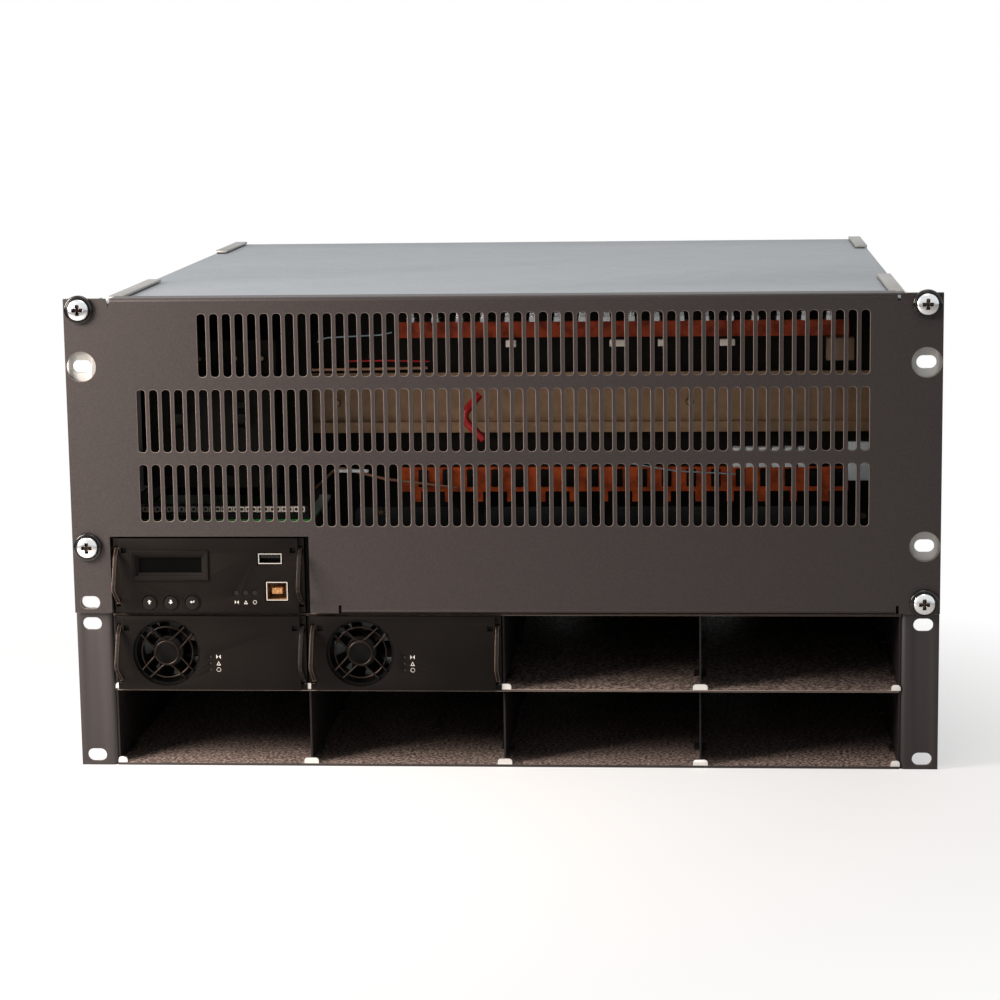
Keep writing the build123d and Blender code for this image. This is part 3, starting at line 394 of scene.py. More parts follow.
# Solder-masked glass-fibre board: green and smooth, with black terminal blocks above it
BOARD = Zoned(
    "solder_mask_board", "1C9A3C", 0.3, fleck="2FB24E", edge="2FB24E", relief=0.01,
    other="0C0B0A", axis="Z", plane=134.4, past="GREATER_THAN", bare=False,
)
PLAIN_BOARD = Moulding("solder_mask_green", "1C5E30", 0.35, sheen="23713B")
# Moulded polyamide of terminals and connectors, cream
CREAM_NYLON = Moulding("cream_polyamide", "FFF6EA", 0.45, grain=1.2)
# Pale blue and white connector housings
PALE_NYLON = Moulding("pale_blue_polyamide", "E8F4FA", 0.4, grain=1.2)
# Beige relay housing
BEIGE_PBT = Moulding("beige_relay_pbt", "8A705A", 0.5)
# Wire sheaths: extruded PVC
RED_PVC = Moulding("red_pvc_sheath", "B00A08", 0.35, grain=2.0)
BLUE_PVC = Moulding("blue_pvc_sheath", "9DB7C4", 0.35, grain=2.0)
TAN_PVC = Moulding("tan_pvc_sheath", "8E6A52", 0.4, grain=2.0)
# Moulded breaker housing and toggle, near black
BREAKER_PBT = Moulding("moulded_breaker_pbt", "0C0B0A", 0.5, specular=0.08)
TOGGLE_PBT = Moulding("moulded_toggle_pbt", "090909", 0.4, specular=0.12)
# Display pane over a dark cell
DISPLAY_PANE = Moulding("display_pane", "050505", 0.12, specular=0.03, grain=6.0, depth=0.0, sheen="070806")
# Clear acrylic light pipe, lamp off
LIGHT_PIPE = Moulding("acrylic_light_pipe", "100C0A", 0.12, specular=0.3, grain=4.0, depth=0.0)
# Moulded rubber-feel button caps
BUTTON_ABS = Moulding("moulded_button", "171413", 0.4, specular=0.12)
# Nickel-plated socket rims round a black moulded inside
SOCKET_NICKEL = Zoned(
    "nickel_socket", "0B0A0A", 0.28, specular=0.3, fleck="12100F", edge="E8E2D8", relief=0.01, other="E0DBD2",
)
# Red moulded busbar insulators
INSULATOR = Moulding("moulded_insulator", "4A120A", 0.4, specular=0.3)
# Pad-printed symbols, off-white ink
PRINT_WHITE = Moulding("pad_print_white", "CFCBC4", 0.6, depth=0.0)
# Floor paper: matt white
FLOOR = Moulding("floor_paper", "F6F6F6", 0.9, grain=3.0, depth=0.02)


def dress(finish: Finish, *names: str) -> None:
    """Gives CAD nodes a finish.

    Args:
        finish: The finish.
        *names: The nodes' names.
    """
    for name in names:
        data = NODES[name].data
        data.materials.clear()
        data.materials.append(finish.material())
        LOG.info("dressed %s with %s", name, finish.name)


# Mesh helpers


def new_object(name: str, mesh: bmesh.types.BMesh, finish: Finish, smooth: float = 35.0) -> bpy.types.Object:
    """Makes a scene object from a bmesh whose points are in millimetres.

    Args:
        name: The object's name.
        mesh: The bmesh, which is freed.
        finish: Its finish.
        smooth: Faces that meet at less than this angle, in degrees, are shaded smooth.

    Returns:
        The object, at the origin.
    """
    bmesh.ops.scale(mesh, vec=(MM, MM, MM), verts=mesh.verts)
    data = bpy.data.meshes.new(name)
    mesh.to_mesh(data)
    mesh.free()
    data.materials.append(finish.material())
    data.shade_smooth()
    data.set_sharp_from_angle(angle=math.radians(smooth))
    made = bpy.data.objects.new(name, data)
    bpy.context.scene.collection.objects.link(made)
    return made


def settle(piece: bpy.types.Object, body: str, slot: str, *replaced: str) -> bpy.types.Object:
    """Rides a finished piece on its body and hides the CAD nodes that it replaces.

    Args:
        piece: The finished object.
        body: The CAD body's name.
        slot: The record's material slot; not used.
        *replaced: The CAD nodes that it replaces.

    Returns:
        The piece.
    """
    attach(piece, body)
    if replaced:
        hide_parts(*replaced)
    LOG.info("made %s on %s: %d faces", piece.name, body, len(piece.data.polygons))
    return piece


def limits(node: str) -> tuple[Vector, Vector]:
    """Lowest and highest corner of a CAD node, in millimetres."""
    low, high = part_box(node)
    return low / MM, high / MM


def body_of(node: str) -> str:
    """The body that a CAD node moves with."""
    return NODES[node]["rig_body"]


def slot_of(node: str) -> str:
    """The record's material slot of a CAD node."""
    return SLOTS[node]


def lathe(profile: Sequence[tuple[float, float]], centre: Point, sides: int = 40) -> bmesh.types.BMesh:
    """Turned solid about an axis along Y.

    Args:
        profile: (radius, y) points; the first and the last lie on the axis if the solid is closed there.
        centre: The axis, in millimetres.
        sides: Sides of the turned shape.

    Returns:
        A bmesh in millimetres.
    """
    mesh = bmesh.new()
    rings = []
    for radius, y in profile:
        turns = 1 if radius == 0 else sides
        angles = [2 * math.pi * n / sides for n in range(turns)]
        rings.append([
            mesh.verts.new(
                (centre[0] + radius * math.cos(a), centre[1] + y, centre[2] + radius * math.sin(a))
            )
            for a in angles
        ])
    for one, two in zip(rings, rings[1:]):
        for n in range(sides):
            corners = [one[n % len(one)], one[(n + 1) % len(one)], two[(n + 1) % len(two)], two[n % len(two)]]
            face = list(dict.fromkeys(corners))
            if len(face) > 2:
                mesh.faces.new(face)
    bmesh.ops.recalc_face_normals(mesh, faces=mesh.faces)
    return mesh


def arc(centre: tuple[float, float], radius: float, start: float, end: float, steps: int = 6) -> Loop:
    """Points of an arc.

    Args:
        centre: Its centre.
        radius: Its radius.
        start: First angle, in degrees.
        end: Last angle, in degrees.
        steps: Number of its spans.
    """
    angles = [math.radians(start + (end - start) * n / steps) for n in range(steps + 1)]
    return [(centre[0] + radius * math.cos(a), centre[1] + radius * math.sin(a)) for a in angles]


def add_prism(mesh: bmesh.types.BMesh, loop: Loop, low: float, high: float, place: Callable) -> list:
    """Adds a straight solid of one outline to a bmesh.

    Args:
        mesh: The bmesh, in millimetres.
        loop: The outline's points.
        low: Where the solid starts.
        high: Where it ends.
        place: Takes (u, v, w) to a point; u and v are the outline's, w runs from low to high.

    Returns:
        The new faces.
    """
    ends = [[mesh.verts.new(place(u, v, w)) for u, v in loop] for w in (low, high)]
    faces = [mesh.faces.new(ends[0]), mesh.faces.new(ends[1][::-1])]
    for n in range(len(loop)):
        m = (n + 1) % len(loop)
        faces.append(mesh.faces.new((ends[0][m], ends[0][n], ends[1][n], ends[1][m])))
    bmesh.ops.recalc_face_normals(mesh, faces=faces)
    return faces


def across(u: float, v: float, w: float) -> Point:
    """Outline in Y and Z, extruded along X."""
    return (w, u, v)


def deep(u: float, v: float, w: float) -> Point:
    """Outline in X and Z, extruded along Y."""
    return (u, w, v)


def round_edges(mesh: bmesh.types.BMesh, radius: float, segments: int = 2, angle: float = 35.0) -> None:
    """Rounds the sharp edges of a bmesh and marks the new faces in its edge attribute, which coats colour as
    a painted highlight.

    Args:
        mesh: The bmesh.
        radius: The edge radius, in the bmesh's units.
        segments: Spans of the round.
        angle: Edges that turn by more than this, in degrees, are sharp.
    """
    layer = mesh.faces.layers.float.get("edge") or mesh.faces.layers.float.new("edge")
    sharp = [e for e in mesh.edges if e.is_manifold and e.calc_face_angle(0.0) > math.radians(angle)]
    made = bmesh.ops.bevel(
        mesh, geom=sharp, offset=radius, segments=segments, profile=0.5, affect="EDGES", clamp_overlap=True
    )
    for face in made["faces"]:
        face[layer] = 1.0


@dataclass(frozen=True)
class RoundedCopy:
    """A CAD node's own shape with its sharp edges rounded, as folded sheet and mouldings have them."""

    node: str
    finish: Finish
    radius: float = 0.2
    segments: int = 2

    def build(self) -> bpy.types.Object:
        """Copies, merges and rounds the node's mesh, and stands in for the node."""
        mesh = bmesh.new()
        mesh.from_mesh(NODES[self.node].data)
        bmesh.ops.scale(mesh, vec=(1 / MM,) * 3, verts=mesh.verts)
        bmesh.ops.remove_doubles(mesh, verts=mesh.verts, dist=0.002)
        bmesh.ops.dissolve_limit(mesh, angle_limit=math.radians(0.5), verts=mesh.verts, edges=mesh.edges)
        round_edges(mesh, self.radius, self.segments)
        made = new_object(f"{self.node}_rounded", mesh, self.finish)
        return settle(made, body_of(self.node), slot_of(self.node), self.node)


class Recipe:
    """A Geometry Nodes tree in millimetres with named inputs, applied to a mesh and then made plain."""

    def __init__(self, name: str) -> None:
        """Starts an empty tree.

        Args:
            name: The tree's name.
        """
        self.tree = bpy.data.node_groups.new(name, "GeometryNodeTree")
        for way in ("INPUT", "OUTPUT"):
            self.tree.interface.new_socket("Geometry", in_out=way, socket_type="NodeSocketGeometry")
        self.source = self.tree.nodes.new("NodeGroupInput")
        self.identifiers: dict[str, str] = {}

    def size(self, name: str, kind: str = "NodeSocketFloat") -> bpy.types.NodeSocket:
        """Adds a named input and returns the socket that carries it."""
        item = self.tree.interface.new_socket(name, in_out="INPUT", socket_type=kind)
        self.identifiers[name] = item.identifier
        return self.source.outputs[name]

    def node(self, kind: str, inputs: Optional[dict] = None, **settings) -> bpy.types.Node:
        """Adds a node to this tree."""
        return add_node(self.tree, kind, inputs, **settings)

    def join(self, *parts: bpy.types.NodeSocket) -> bpy.types.NodeSocket:
        """Joins geometry."""
        joined = self.node("GeometryNodeJoinGeometry")
        for part in parts:
            self.tree.links.new(part, joined.inputs[0])
        return joined.outputs[0]

    def close(self, geometry: bpy.types.NodeSocket, finish: Finish) -> None:
        """Ends the tree: real geometry with its material."""
        real = self.node("GeometryNodeRealizeInstances", {"Geometry": geometry}).outputs[0]
        dressed = self.node("GeometryNodeSetMaterial", {"Geometry": real, "Material": finish.material()})
        self.node("NodeGroupOutput", {0: dressed.outputs[0]})

    def apply(
        self, name: str, base: bmesh.types.BMesh, finish: Finish, sizes: dict[str, float]
    ) -> bpy.types.Object:
        """Runs the tree on a base mesh and keeps the plain result.

        Args:
            name: The new object's name.
            base: What the tree starts from, in millimetres; it is freed.
            finish: The piece's finish.
            sizes: Values of the named inputs.

        Returns:
            A plain object, at the origin, in metres.
        """
        data = bpy.data.meshes.new(f"{name}_base")
        base.to_mesh(data)
        base.free()
        carrier = bpy.data.objects.new(f"{name}_carrier", data)
        bpy.context.scene.collection.objects.link(carrier)
        modifier = carrier.modifiers.new("recipe", "NODES")
        modifier.node_group = self.tree
        for key, value in sizes.items():
            modifier[self.identifiers[key]] = value
        depsgraph = bpy.context.evaluated_depsgraph_get()
        plain = bpy.data.meshes.new_from_object(carrier.evaluated_get(depsgraph))
        carrier.modifiers.clear()
        bpy.data.objects.remove(carrier)
        mesh = bmesh.new()
        mesh.from_mesh(plain)
        bpy.data.meshes.remove(plain)
        bmesh.ops.remove_doubles(mesh, verts=mesh.verts, dist=0.004)
        bmesh.ops.dissolve_degenerate(mesh, dist=0.001, edges=mesh.edges)
        return new_object(name, mesh, finish)


@dataclass(frozen=True)
class SlotRow:
    """One row of slots in the front cover."""

    first: int
    count: int
    middle: float
    short: bool = False


@dataclass
class SlottedCover:
    """Front cover: a folded, powder-coated sheet with three rows of slots whose rims are rounded."""

    pitch: float = 7.0
    first_x: float = -199.5
    slot_width: float = 4.7
    slot_length: float = 35.0
    short_length: float = 32.0
    corner: float = 1.9
    rim: float = 0.25
    thickness: float = 1.5
    bend: float = 1.7
    access_radius: float = 8.2
    screw_hole: float = 3.3
    notch: float = 4.5
    slit: float = 1.6
    top_flange: tuple[float, float] = (-215.3, 216.6)
    bottom_flange: tuple[float, float] = (-90.2, 217.2)
    opening: tuple[float, float, float] = (-220.1, -107.8, 132.5)
    ear_x: float = 232.55
    ear_heights: tuple[float, float, float, float] = (94.85, 126.6, 228.2, 259.95)
    slot_size: tuple[float, float] = (10.9, 7.1)
    rows: tuple[SlotRow, ...] = (
        SlotRow(5, 53, 239.6), SlotRow(0, 58, 197.6), SlotRow(0, 14, 157.1, True), SlotRow(14, 44, 155.6),
    )

    def screws(self) -> list[tuple[float, float]]:
        """Where the cover is screwed to the ears."""
        low, second, _, top = self.ear_heights
        return [(-self.ear_x, top), (self.ear_x, top), (-self.ear_x, second), (self.ear_x, low)]

    def access(self) -> list[tuple[float, float]]:
        """Round holes that the rack screws are reached through."""
        _, second, third, _ = self.ear_heights
        return [(-self.ear_x, third), (self.ear_x, third), (self.ear_x, second)]

    def outline(self, low: Vector, high: Vector) -> Loop:
        """Outer edge of the flat, clockwise from the top left, with its notch, slits and cut-out."""
        left, right, bottom, top = low.x, high.x, low.z, high.z
        fold_top, fold_bottom = top - self.bend, bottom + self.bend
        f, b, c = self.top_flange, self.bottom_flange, self.opening
        points = [(left, top), (f[0] - 2.3, top), (f[0] - 1.1, top - self.notch), (f[0], fold_top)]
        points += [(f[1], fold_top), (f[1], top - self.notch), (f[1] + self.slit, top - self.notch)]
        points += [(f[1] + self.slit, top), (right, top), (right, bottom), (b[1] + self.slit, bottom)]
        points += [(b[1] + self.slit, bottom + self.notch), (b[1], bottom + self.notch), (b[1], fold_bottom)]
        points += [(b[0], fold_bottom), (b[0], bottom + self.notch), (b[0] - self.slit, bottom + self.notch)]
        points += [(b[0] - self.slit, bottom), (c[1], bottom), (c[1], c[2]), (c[0], c[2]), (c[0], bottom)]
        return points + [(left, bottom)]

    def base(self, low: Vector, high: Vector) -> bmesh.types.BMesh:
        """Outline edges, and loose points that carry the round holes."""
        mesh = bmesh.new()
        kind = mesh.verts.layers.int.new("kind")
        verts = [mesh.verts.new((x, z, 0)) for x, z in self.outline(low, high)[::-1]]
        for one, two in zip(verts, verts[1:] + verts[:1]):
            mesh.edges.new((one, two))
        for number, places in (
            (1, self.access()), (2, self.screws()), (3, [(-self.ear_x, self.ear_heights[0])])
        ):
            for x, z in places:
                mesh.verts.new((x, z, 0))[kind] = number
        return mesh

    def recipe(self) -> Recipe:
        """Tree that cuts the slots and holes, rounds their rims and gives the sheet its thickness."""
        r = Recipe("slotted_sheet")
        s = {
            n: r.size(n)
            for n in ("Width", "Length", "Short length", "Corner", "Rim", "Front", "Back", "Pitch")
        }
        s |= {
            n: r.size(n)
            for n in ("Access radius", "Screw hole", "Ear slot width", "Ear slot height", "Ear corner")
        }

        def plus(a, b, times: float = 1.0):
            """a + b * times."""
            node = r.node("ShaderNodeMath", {0: b, 1: times, 2: a}, operation="MULTIPLY_ADD")
            return node.outputs[0]

        def rectangle(width, length, corner, grown: bool):
            """Outline of one slot, true or grown by the rim."""
            more = 2.0 if grown else 0.0
            quad = r.node(
                "GeometryNodeCurvePrimitiveQuadrilateral",
                {"Width": plus(width, s["Rim"], more), "Height": plus(length, s["Rim"], more)},
            )
            inputs = {"Curve": quad.outputs[0], "Radius": plus(corner, s["Rim"], more / 2), "Count": 4}
            return r.node("GeometryNodeFilletCurve", inputs, mode="POLY").outputs[0]

        def circle(radius, grown: bool):
            """Outline of one round hole."""
            value = plus(radius, s["Rim"], 1.0 if grown else 0.0)
            return r.node("GeometryNodeCurvePrimitiveCircle", {"Resolution": 40, "Radius": value}).outputs[0]

        def point(x, z):
            """Vector of a profile point: x into the metal, depth z below the front."""
            return r.node("ShaderNodeCombineXYZ", {"X": x, "Y": plus(0.0, z, -1.0)}).outputs[0]

        def lining(curve):
            """Rounded rim and straight wall of one opening, the rim marked for a painted highlight and the
            wall for painted shade.
            """
            edge = plus(s["Front"], s["Rim"], -1.0)
            soft = plus(s["Front"], s["Rim"], -0.45)
            near = r.node("ShaderNodeMath", {0: s["Rim"], 1: 0.45}, operation="MULTIPLY").outputs[0]
            bend = r.node(
                "GeometryNodeCurvePrimitiveBezierSegment",
                {"Resolution": 4, "Start": point(s["Rim"], s["Front"]),
                 "Start Handle": point(near, s["Front"]),
                 "End Handle": point(0.0, soft), "End": point(0.0, edge)},
            )
            wall = r.node(
                "GeometryNodeCurvePrimitiveLine", {"Start": point(0.0, edge), "End": point(0.0, s["Back"])}
            )
            upright = r.node("GeometryNodeSetCurveNormal", {"Curve": curve}, mode="Z_UP").outputs[0]
            swept = [
                r.node(
                    "GeometryNodeCurveToMesh", {"Curve": upright, "Profile Curve": p.outputs[0]}
                ).outputs[0]
                for p in (bend, wall)
            ]
            marked = [
                r.node(
                    "GeometryNodeStoreNamedAttribute", {"Geometry": part, "Name": mark, "Value": 1.0},
                    data_type="FLOAT", domain="FACE",
                ).outputs[0]
                for part, mark in zip(swept, ("edge", "painted_hollow_shade"))
            ]
            return r.join(*marked)

        def row(item: SlotRow):
            """Points of one row."""
            start = r.node(
                "ShaderNodeCombineXYZ", {"X": self.first_x + item.first * self.pitch, "Y": item.middle}
            )
            step = r.node("ShaderNodeCombineXYZ", {"X": s["Pitch"]})
            line = {"Count": item.count, "Start Location": start.outputs[0], "Offset": step.outputs[0]}
            return r.node("GeometryNodeMeshLine", line, mode="OFFSET").outputs[0]

        def loose(number: int):
            """The base mesh's points of one kind of hole."""
            kind = r.node(
                "GeometryNodeInputNamedAttribute", {"Name": "kind"}, data_type="INT"
            ).outputs["Attribute"]
            same = r.node(
                "FunctionNodeCompare", {2: kind, 3: number}, data_type="INT", operation="EQUAL"
            ).outputs[0]
            return r.node(
                "GeometryNodeMeshToPoints", {"Mesh": r.source.outputs["Geometry"], "Selection": same}
            ).outputs[0]

        full = r.join(*[row(item) for item in self.rows if not item.short])
        short = r.join(*[row(item) for item in self.rows if item.short])
        kinds = [
            (full, lambda grown: rectangle(s["Width"], s["Length"], s["Corner"], grown)),
            (short, lambda grown: rectangle(s["Width"], s["Short length"], s["Corner"], grown)),
            (
                loose(3),
                lambda grown: rectangle(s["Ear slot width"], s["Ear slot height"], s["Ear corner"], grown),
            ),
            (loose(1), lambda grown: circle(s["Access radius"], grown)),
            (loose(2), lambda grown: circle(s["Screw hole"], grown)),
        ]
        outer = r.node("GeometryNodeMeshToCurve", {"Mesh": r.source.outputs["Geometry"]}).outputs[0]
        faces = []
        for grown, level in ((True, s["Front"]), (False, s["Back"])):
            holes = [
                r.node(
                    "GeometryNodeInstanceOnPoints", {"Points": points, "Instance": shape(grown)}
                ).outputs[0]
                for points, shape in kinds
            ]
            loops = r.node("GeometryNodeRealizeInstances", {"Geometry": r.join(outer, *holes)}).outputs[0]
            flat = r.node("GeometryNodeFillCurve", {"Curve": loops}).outputs[0]
            if not grown:
                flat = r.node("GeometryNodeFlipFaces", {"Mesh": flat}).outputs[0]
            lift = r.node("ShaderNodeCombineXYZ", {"Z": level}).outputs[0]
            faces.append(r.node("GeometryNodeTransform", {"Geometry": flat, "Translation": lift}).outputs[0])
        linings = [
            r.node(
                "GeometryNodeInstanceOnPoints", {"Points": points, "Instance": lining(shape(False))}
            ).outputs[0]
            for points, shape in kinds
        ]
        brink = r.node(
            "GeometryNodeCurvePrimitiveLine", {"Start": point(0.0, s["Front"]), "End": point(0.0, s["Back"])}
        )
        around = r.node("GeometryNodeSetCurveNormal", {"Curve": outer}, mode="Z_UP").outputs[0]
        side = r.node(
            "GeometryNodeCurveToMesh", {"Curve": around, "Profile Curve": brink.outputs[0]}
        ).outputs[0]
        turned = r.node(
            "GeometryNodeTransform",
            {"Geometry": r.join(*faces, *linings, side), "Rotation": (math.pi / 2, 0.0, 0.0)},
        )
        r.close(turned.outputs[0], ANTHRACITE)
        return r

    def folds(self, low: Vector, high: Vector) -> bmesh.types.BMesh:
        """Return flanges with their bends, the return beside the cut-out and the pads behind the screws."""
        mesh = bmesh.new()
        front, rear, sheet, bend = low.y, high.y, self.thickness, self.bend
        outer = arc((front + bend, bend), bend, 180, 270)
        inner = arc((front + bend, bend), bend - sheet, 270, 180)
        profile = outer + [(rear, 0.0), (rear, sheet)] + inner
        for (left, right), edge, way in ((self.top_flange, high.z, -1), (self.bottom_flange, low.z, 1)):
            add_prism(mesh, [(y, edge + way * depth) for y, depth in profile], left, right, across)
        return_x = (self.opening[0] - sheet, self.opening[0])
        strip = [(front + sheet, low.z + self.notch), (-1.7, low.z + self.notch)]
        strip += [(-1.7, self.opening[2] - 3.0), (front + sheet, self.opening[2] - 3.0)]
        add_prism(mesh, strip, *return_x, across)
        for x, z in self.screws():
            ring = arc((x, z), 5.9, 0, 360, 32)[:-1]
            add_prism(mesh, ring, front + sheet, -sheet, deep)
        round_edges(mesh, 0.2, 2, 50.0)
        return mesh

    def build(self) -> None:
        """Makes the sheet and its folds in place of the CAD cover."""
        low, high = limits("front_cover")
        sizes = {
            "Width": self.slot_width, "Length": self.slot_length, "Short length": self.short_length,
            "Corner": self.corner, "Rim": self.rim, "Front": -low.y, "Back": -low.y - self.thickness,
            "Pitch": self.pitch, "Access radius": self.access_radius, "Screw hole": self.screw_hole,
            "Ear slot width": self.slot_size[0], "Ear slot height": self.slot_size[1],
            "Ear corner": self.slot_size[1] / 2 - self.rim,
        }
        flat = self.recipe().apply("cover_sheet", self.base(low, high), ANTHRACITE, sizes)
        settle(flat, "shelf", slot_of("front_cover"), "front_cover")
        folds = new_object("cover_folds", self.folds(low, high), ANTHRACITE)
        settle(folds, "shelf", slot_of("front_cover"))


@dataclass
class CoverFixings:
    """Domed, cross-recessed screws in glossy cup washers at the cover's corners."""

    cover: SlottedCover
    cup_radius: float = 7.97
    cup_height: float = 2.4
    cup_floor: float = 1.0
    well: float = 6.4
    head_radius: float = 6.0
    head_height: float = 3.4
    arm_length: float = 2.9
    arm_width: float = 0.75
    recess: float = 1.9
    grid: int = 44

    def cup(self, x: float, z: float, seat: float) -> bmesh.types.BMesh:
        """One washer: rounded outer rim, well and floor."""
        top, floor, hole = -self.cup_height, -self.cup_floor, self.cover.screw_hole
        rim = arc((self.cup_radius - 0.9, top + 0.9), 0.9, 270, 360, 5)
        profile = [
            (hole, 0.0), (hole, floor), (self.well, floor), (self.well, top + 0.3), (self.well + 0.3, top)
        ]
        return lathe(profile + rim + [(self.cup_radius, 0.0), (hole, 0.0)], (x, seat, z), 56)

    def height(self, u: float, v: float) -> float:
        """How far the head stands out at a point of its disc, with the cross sunk in.

        Args:
            u: Across, in millimetres from the middle.
            v: Up, in millimetres from the middle.
        """
        radius = min(1.0, math.hypot(u, v) / self.head_radius)
        dome = self.head_height * (0.42 + 0.58 * math.sqrt(max(0.0, 1.0 - radius ** 2.6)))

        def inside(value: float, limit: float) -> float:
            """Smooth one-to-zero step past a limit."""
            t = min(1.0, max(0.0, (limit - abs(value)) / 0.28 + 0.5))
            return t * t * (3 - 2 * t)

        cross = max(
            inside(u, self.arm_length) * inside(v, self.arm_width),
            inside(v, self.arm_length) * inside(u, self.arm_width),
        )
        return dome - cross * self.recess

    def screw(self, x: float, z: float, seat: float) -> bmesh.types.BMesh:
        """One screw head on a square grid bent to a disc, with its rim and shank."""
        mesh = bmesh.new()
        painted_hollow_shade = mesh.faces.layers.float.new("painted_hollow_shade")
        n = self.grid
        points = {}
        for i in range(n + 1):
            for j in range(n + 1):
                a, b = 2 * i / n - 1, 2 * j / n - 1
                u = self.head_radius * a * math.sqrt(1 - b * b / 2)
                v = self.head_radius * b * math.sqrt(1 - a * a / 2)
                points[i, j] = mesh.verts.new((x + u, seat - self.height(u, v), z + v))
        for i in range(n):
            for j in range(n):
                face = mesh.faces.new(
                    (points[i, j], points[i + 1, j], points[i + 1, j + 1], points[i, j + 1])
                )
                middle = face.calc_center_median()
                u, v = abs(middle.x - x), abs(middle.z - z)
                # Faces of the cross recess are marked for painted shade
                face[painted_hollow_shade] = float(min(u, v) < self.arm_width and max(u, v) < self.arm_length)
        rim = [e for e in mesh.edges if e.is_boundary]
        made = bmesh.ops.extrude_edge_only(mesh, edges=rim)["geom"]
        for vert in (g for g in made if isinstance(g, bmesh.types.BMVert)):
            vert.co.y = seat
        last = [g for g in made if isinstance(g, bmesh.types.BMEdge) and g.is_boundary]
        bmesh.ops.holes_fill(mesh, edges=last)
        bmesh.ops.recalc_face_normals(mesh, faces=mesh.faces)
        self.order(mesh)
        return mesh

    @staticmethod
    def order(mesh: bmesh.types.BMesh) -> None:
        """Numbers points and faces by their place, as the extruded rim comes in another order each run."""
        kinds = ((mesh.verts, lambda v: v.co[:]), (mesh.faces, lambda f: f.calc_center_median()[:]))
        for items, place in kinds:
            rank = {item: number for number, item in enumerate(sorted(items, key=place))}
            items.sort(key=rank.get)

    def build(self) -> None:
        """Makes the four pairs in place of the CAD ones."""
        low, _ = limits("front_cover")
        cups, heads = bmesh.new(), bmesh.new()
        for x, z in self.cover.screws():
            for whole, one in (
                (cups, self.cup(x, z, low.y)), (heads, self.screw(x, z, low.y - self.cup_floor))
            ):
                data = bpy.data.meshes.new("part")
                one.to_mesh(data)
                one.free()
                whole.from_mesh(data)
                bpy.data.meshes.remove(data)
        for mesh in (cups, heads):
            bmesh.ops.remove_doubles(mesh, verts=mesh.verts, dist=0.002)
            bmesh.ops.recalc_face_normals(mesh, faces=mesh.faces)
        settle(
            new_object("cup_washers_turned", cups, GLOSS_BLACK), "shelf",
            slot_of("cup_washers"), "cup_washers",
        )
        settle(new_object("screw_heads", heads, ZINC_SCREW), "shelf", slot_of("cover_screws"), "cover_screws")


class WireShape:
    """Round wire or cable along corner points, each with its own bend radius."""

    def __init__(self) -> None:
        """Builds the tree: corners to a filleted curve, swept with a round section."""
        r = Recipe("bent_wire")
        radius = r.size("Radius")
        curve = r.node("GeometryNodeMeshToCurve", {"Mesh": r.source.outputs["Geometry"]}).outputs[0]
        bend = r.node(
            "GeometryNodeInputNamedAttribute", {"Name": "bend"}, data_type="FLOAT"
        ).outputs["Attribute"]
        inputs = {"Curve": curve, "Radius": bend, "Limit Radius": True, "Count": 7}
        smooth = r.node("GeometryNodeFilletCurve", inputs, mode="POLY").outputs[0]
        section = r.node("GeometryNodeCurvePrimitiveCircle", {"Resolution": 10, "Radius": radius}).outputs[0]
        swept = r.node(
            "GeometryNodeCurveToMesh", {"Curve": smooth, "Profile Curve": section, "Fill Caps": True}
        ).outputs[0]
        r.close(swept, GUARD_WIRE)
        self.recipe = r

    def build(
        self,
        name: str,
        routes: Iterable[tuple[Sequence[Point], Sequence[float], bool]],
        radius: float,
        finish: Finish,
    ) -> bpy.types.Object:
        """Sweeps several routes into one piece.

        Args:
            name: The piece's name.
            routes: (corner points in millimetres, bend radius at each, whether it closes).
            radius: The wire's radius.
            finish: Its finish.

        Returns:
            The piece.
        """
        mesh = bmesh.new()
        layer = mesh.verts.layers.float.new("bend")
        for points, bends, closed in routes:
            verts = [mesh.verts.new(p) for p in points]
            for vert, bend in zip(verts, bends):
                vert[layer] = bend
            pairs = list(zip(verts, verts[1:])) + ([(verts[-1], verts[0])] if closed else [])
            for pair in pairs:
                mesh.edges.new(pair)
        return self.recipe.apply(name, mesh, finish, {"Radius": radius})


class PanHeads:
    """Low pan heads of screws and rivets, one on each point."""

    def __init__(self) -> None:
        """Builds the tree: a chamfered head on every point, turned one way."""
        r = Recipe("pan_heads")
        radius, height, turn = r.size("Radius"), r.size("Height"), r.size("Turn", "NodeSocketVector")
        crown = r.node("ShaderNodeMath", {0: radius, 1: 0.68}, operation="MULTIPLY").outputs[0]
        sizes = {"Vertices": 16, "Radius Top": crown, "Radius Bottom": radius, "Depth": height}
        head = r.node("GeometryNodeMeshCone", sizes).outputs["Mesh"]
        spin = r.node("FunctionNodeEulerToRotation", {0: turn}).outputs[0]
        points = r.node("GeometryNodeMeshToPoints", {"Mesh": r.source.outputs["Geometry"]}).outputs[0]
        placed = {"Points": points, "Instance": head, "Rotation": spin}
        r.close(r.node("GeometryNodeInstanceOnPoints", placed).outputs[0], ZINC_SCREW)
        self.recipe = r

    def build(
        self, name: str, places: Iterable[Point], radius: float, height: float, turn: Point, finish: Finish
    ):
        """Sets the heads; turn is the Euler turn, in degrees, of a head that stands up +Z."""
        mesh = bmesh.new()
        for place in places:
            mesh.verts.new(place)
        spin = [math.radians(a) for a in turn]
        return self.recipe.apply(name, mesh, finish, {"Radius": radius, "Height": height, "Turn": spin})


